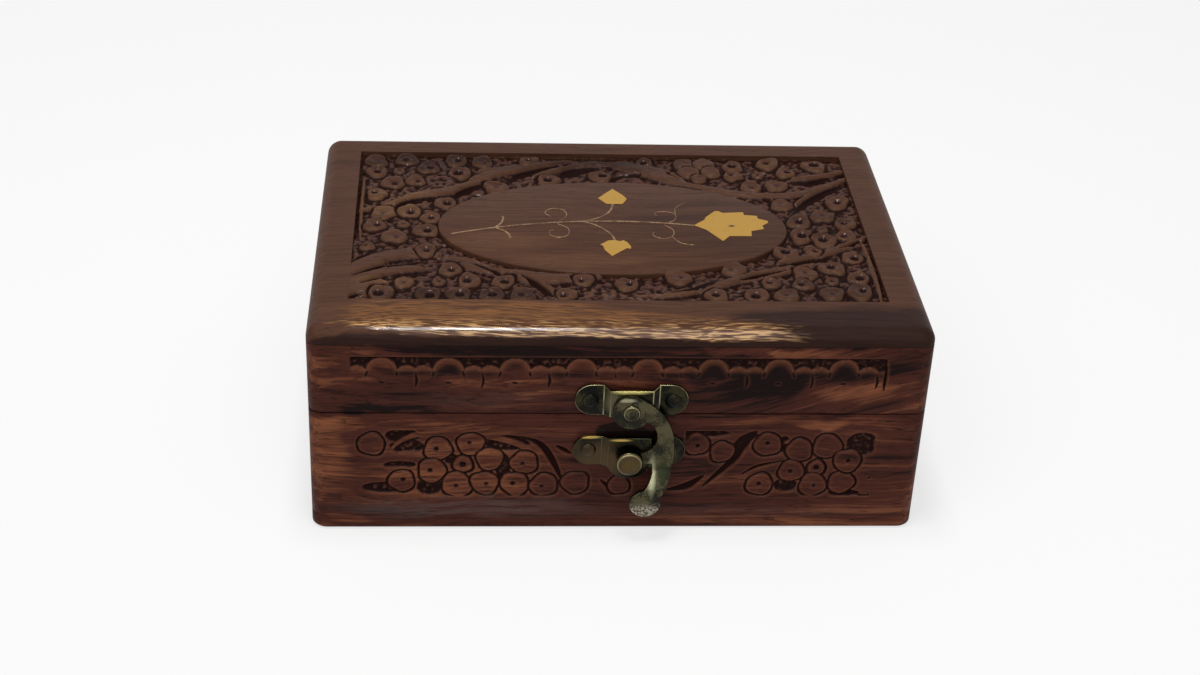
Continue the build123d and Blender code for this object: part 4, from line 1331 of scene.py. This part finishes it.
LID_PATCHES = [
    # The second spot darkens the lower half of the rounded front edge: partly darker wood, partly painted shade
    ((60, -50, 56.6), (56, 13, 9), -0.44), ((-20, -53, 54.6), (90, 4, 2.9), -0.50),
    ((-30, -8, 58), (26, 9, 9), 0.14), ((-6, -17, 58), (34, 6, 9), 0.14), ((30, 2, 58), (44, 30, 9), -0.09),
]
CARVING_PATCHES = [
    ((-40, -35, 57), (34, 5, 9), -0.30), ((-55, 12, 57), (14, 18, 9), 0.16), ((-44, 38, 57), (34, 8, 9), -0.16),
    ((-56, -28, 57), (14, 6, 9), 0.14), ((52, -30, 57), (20, 12, 9), -0.12), ((46, 32, 57), (20, 12, 9), 0.12),
    ((0, 38, 57), (30, 8, 9), -0.18), ((54, 6, 57), (14, 16, 9), -0.10), ((6, -34, 57), (26, 5, 9), 0.10),
]
FRONT_PATCHES = [
    ((-74, -50, 24), (12, 40, 18), 0.22), ((-75, -50, 45), (8, 40, 9), 0.08),
    ((-60, -50, 32), (30, 40, 3.0), 0.14), ((46, -50, 32.4), (40, 40, 2.6), 0.24),
    ((58, -50, 41), (18, 40, 4.6), 0.18), ((74, -50, 42), (7, 40, 9), 0.10),
    # The first spot here and the first on the next line darken the band just under the lid's rounded edge:
    # partly darker wood, partly painted shade
    ((40, -50, 55.6), (60, 40, 2.6), -0.30), ((36, -50, 52), (26, 40, 1.6), 0.08),
    ((-30, -50, 53.2), (60, 40, 3.6), -0.27), ((-59, -50, 36), (17, 40, 1.6), -0.20),
    ((0, -50, 48), (100, 40, 4.6), -0.22), ((44, -50, 46), (50, 40, 6), -0.08),
    # The second spot here is painted shadow between the latch's top plate and its keeper
    ((28, -50, 45), (22, 40, 8), -0.22), ((1, -50, 29.2), (11, 40, 3.0), -1.6),
    ((30, -50, 3.6), (24, 40, 2.0), 0.04), ((-66, -50, 2.4), (10, 40, 2.4), 0.14),
    ((-28, -50, 37.5), (20, 40, 1.4), 0.12), ((20, -50, 8), (70, 40, 3), -0.06),
    ((-38, -50, 19), (34, 40, 13), 0.22),
]
FRONT_GLEAMS = [
    ((-38, -50, 6), (42, 40, 4.4), 0.5), ((-35, -50, 39), (26, 40, 3), 0.14), ((30, -50, 5), (50, 40, 3), 0.14),
]

# The dark pin in the middle of the flower: a centre and a reach

FLOWER_PIN = ((31.6, 1.5, 58), (1.2, 0.8, 3))

# Spots on the latch plates: lighter brass, a dark spot round the knob, and painted highlights along the folds:
# centre, reach and colour

PLATE_TONES_AND_PAINTED_LIGHT = [
    ((LATCH_X - 7, -52, 21.5), (10, 30, 7.5), tint(72, 57, 39)),
    ((LATCH_X - 4.6, -52, 39), (2.4, 30, 4.6), tint(88, 82, 62)),
    ((LATCH_X - 0.5, -52, 26), (5.6, 30, 3.4), tint(16, 13, 9)),
    # Painted highlights along the top plate's dip and the keeper's top edge
    ((LATCH_X - 0.3, -52, 42.1), (6.0, 30, 0.9), tint(186, 174, 104)),
    ((LATCH_X - 10.0, -52, 28.3), (3.8, 30, 0.6), tint(186, 156, 84)),
    ((LATCH_X - 2.2, -52, 28.1), (3.4, 30, 0.5), tint(186, 156, 84)),
]


def mix_finishes(scene):
    """Mix every finish once, before the pieces are made."""
    wood, metal = scene.box_wood, scene.box_metal
    lid, wall = (
        [tuple(getattr(wood, name)) for name in
         (f"{board}_dark", f"{board}_body", f"{board}_light", "edge_light", "cut_ground", "cut_painted_shade")]
        for board in ("lid", "wall")
    )

    def front_edge(finish, place):
        """Golden wood along the front, which runs out in a point towards the right."""
        x, y, z = (finish.axis(place, letter) for letter in "XYZ")
        slant = (x + 10 * MM).math("MAXIMUM", 0.0) * 0.15
        ahead = 1.0 - (y + slant).rise(-42.5 * MM, -37.5 * MM)
        left = 1.0 - x.rise(26 * MM, 47 * MM)
        return ahead * left * z.rise(56.0 * MM, 57.3 * MM)

    def climbing(finish, place):
        """The grain of the lid's front, which climbs to the right of the latch."""
        x, z = finish.axis(place, "X"), finish.axis(place, "Z")
        on_lid = z.math("GREATER_THAN", LID_FRONT[0].z - 0.05 * MM)
        drop = x.rise(12 * MM, 85 * MM) * on_lid * (-20 * MM)
        return finish.vectors("ADD", place, finish.node("ShaderNodeCombineXYZ", {}, {"Z": drop}))

    FINISHES["lid"] = rosewood("lid_rosewood", lid, 0, 0.7, LID_PATCHES, front_edge)
    FINISHES["carving"] = rosewood("carved_rosewood", lid, 0, 0.9, CARVING_PATCHES, gloss=0.16)
    front = {"patches": FRONT_PATCHES, "climb": climbing, "gloss": 0.1, "gleams": FRONT_GLEAMS}
    FINISHES["front"] = rosewood("front_rosewood", wall, 0, 2.1, **front)
    FINISHES["front_carving"] = rosewood("front_carved_rosewood", wall, 0, 2.1, **front)
    FINISHES["side"] = rosewood("side_rosewood", wall, 1, 2.0)
    FINISHES["inlay"] = brass("inlay_brass", tuple(metal.inlay), INLAY_TARNISH, 0.25, 0.34, [FLOWER_PIN])
    FINISHES["wire"] = brass("inlay_wire", tuple(metal.wire), WIRE_TARNISH, 0.7, 0.42)
    FINISHES["hinge"] = brass("hinge_brass", tuple(metal.hinge), HINGE_TARNISH, 0.2, 0.3)
    edge = tuple(metal.latch_edge)
    knob, pivot = (sum(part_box(node), Vector()) / 2 / MM for node in ("latch_knob", "latch_pivot_rivet"))
    hook_tones_and_painted_light = [
        (tuple(knob), (4.4, 30, 4.4), tuple(metal.knob)),
        # Painted shade down the tail's right side, a painted highlight down the tail, and one on the ring's
        # upper rim
        ((knob.x + 8.4, knob.y, knob.z - 2.6), (1.8, 30, 4.6), tint(42, 46, 29)),
        ((knob.x + 5.7, knob.y, knob.z - 3.6), (1.3, 30, 7.0), tint(140, 140, 112)),
        ((pivot.x - 1.3, pivot.y, pivot.z + 3.6), (3.0, 30, 0.8), tint(158, 152, 124)),
    ]
    FINISHES["plate"] = latch_brass(
        "plate_brass", tuple(metal.plate), tuple(metal.plate_dark), edge, PLATE_TONES_AND_PAINTED_LIGHT
    )
    FINISHES["hook"] = latch_brass(
        "hook_brass", tuple(metal.hook), tuple(metal.hook_dark), edge, hook_tones_and_painted_light, tuple(metal.latch_worn)
    )
    FINISHES["velvet"] = velvet(tuple(metal.velvet))


class BOX_PT_panel(bpy.types.Panel):
    """Sizes, colours and steps of the box"""

    bl_idname = "BOX_PT_panel"
    bl_label = "Carved jewelry box"
    bl_space_type = "VIEW_3D"
    bl_region_type = "UI"
    bl_category = "Box"

    def draw(self, context):
        for setting, group in SETTINGS.items():
            box = self.layout.box()
            for name in group.__annotations__:
                box.prop(getattr(context.scene, setting), name)
        for operator in OPERATORS:
            self.layout.operator(operator.bl_idname)


SETTINGS = {
    "box_carving": BoxCarvingSettings,
    "box_wood": BoxWoodSettings,
    "box_metal": BoxMetalSettings,
    "box_stage": BoxStageSettings,
}
OPERATORS = (
    BOX_OT_stage,
    BOX_OT_boards,
    BOX_OT_carve_lid,
    BOX_OT_carve_front,
    BOX_OT_inlay,
    BOX_OT_linings,
    BOX_OT_hinges,
    BOX_OT_latch,
)


def register():
    for name, group in SETTINGS.items():
        bpy.utils.register_class(group)
        setattr(bpy.types.Scene, name, bpy.props.PointerProperty(type=group))
    for operator in OPERATORS:
        bpy.utils.register_class(operator)
    bpy.utils.register_class(BOX_PT_panel)


def unregister():
    bpy.utils.unregister_class(BOX_PT_panel)
    for operator in reversed(OPERATORS):
        bpy.utils.unregister_class(operator)
    for name, group in SETTINGS.items():
        delattr(bpy.types.Scene, name)
        bpy.utils.unregister_class(group)


def main():
    register()
    mix_finishes(bpy.context.scene)
    bpy.ops.box.stage()
    bpy.ops.box.boards()
    bpy.ops.box.carve_lid()
    bpy.ops.box.carve_front()
    bpy.ops.box.inlay()
    bpy.ops.box.linings()
    bpy.ops.box.hinges()
    bpy.ops.box.latch()


if __name__ == "__main__":
    main()
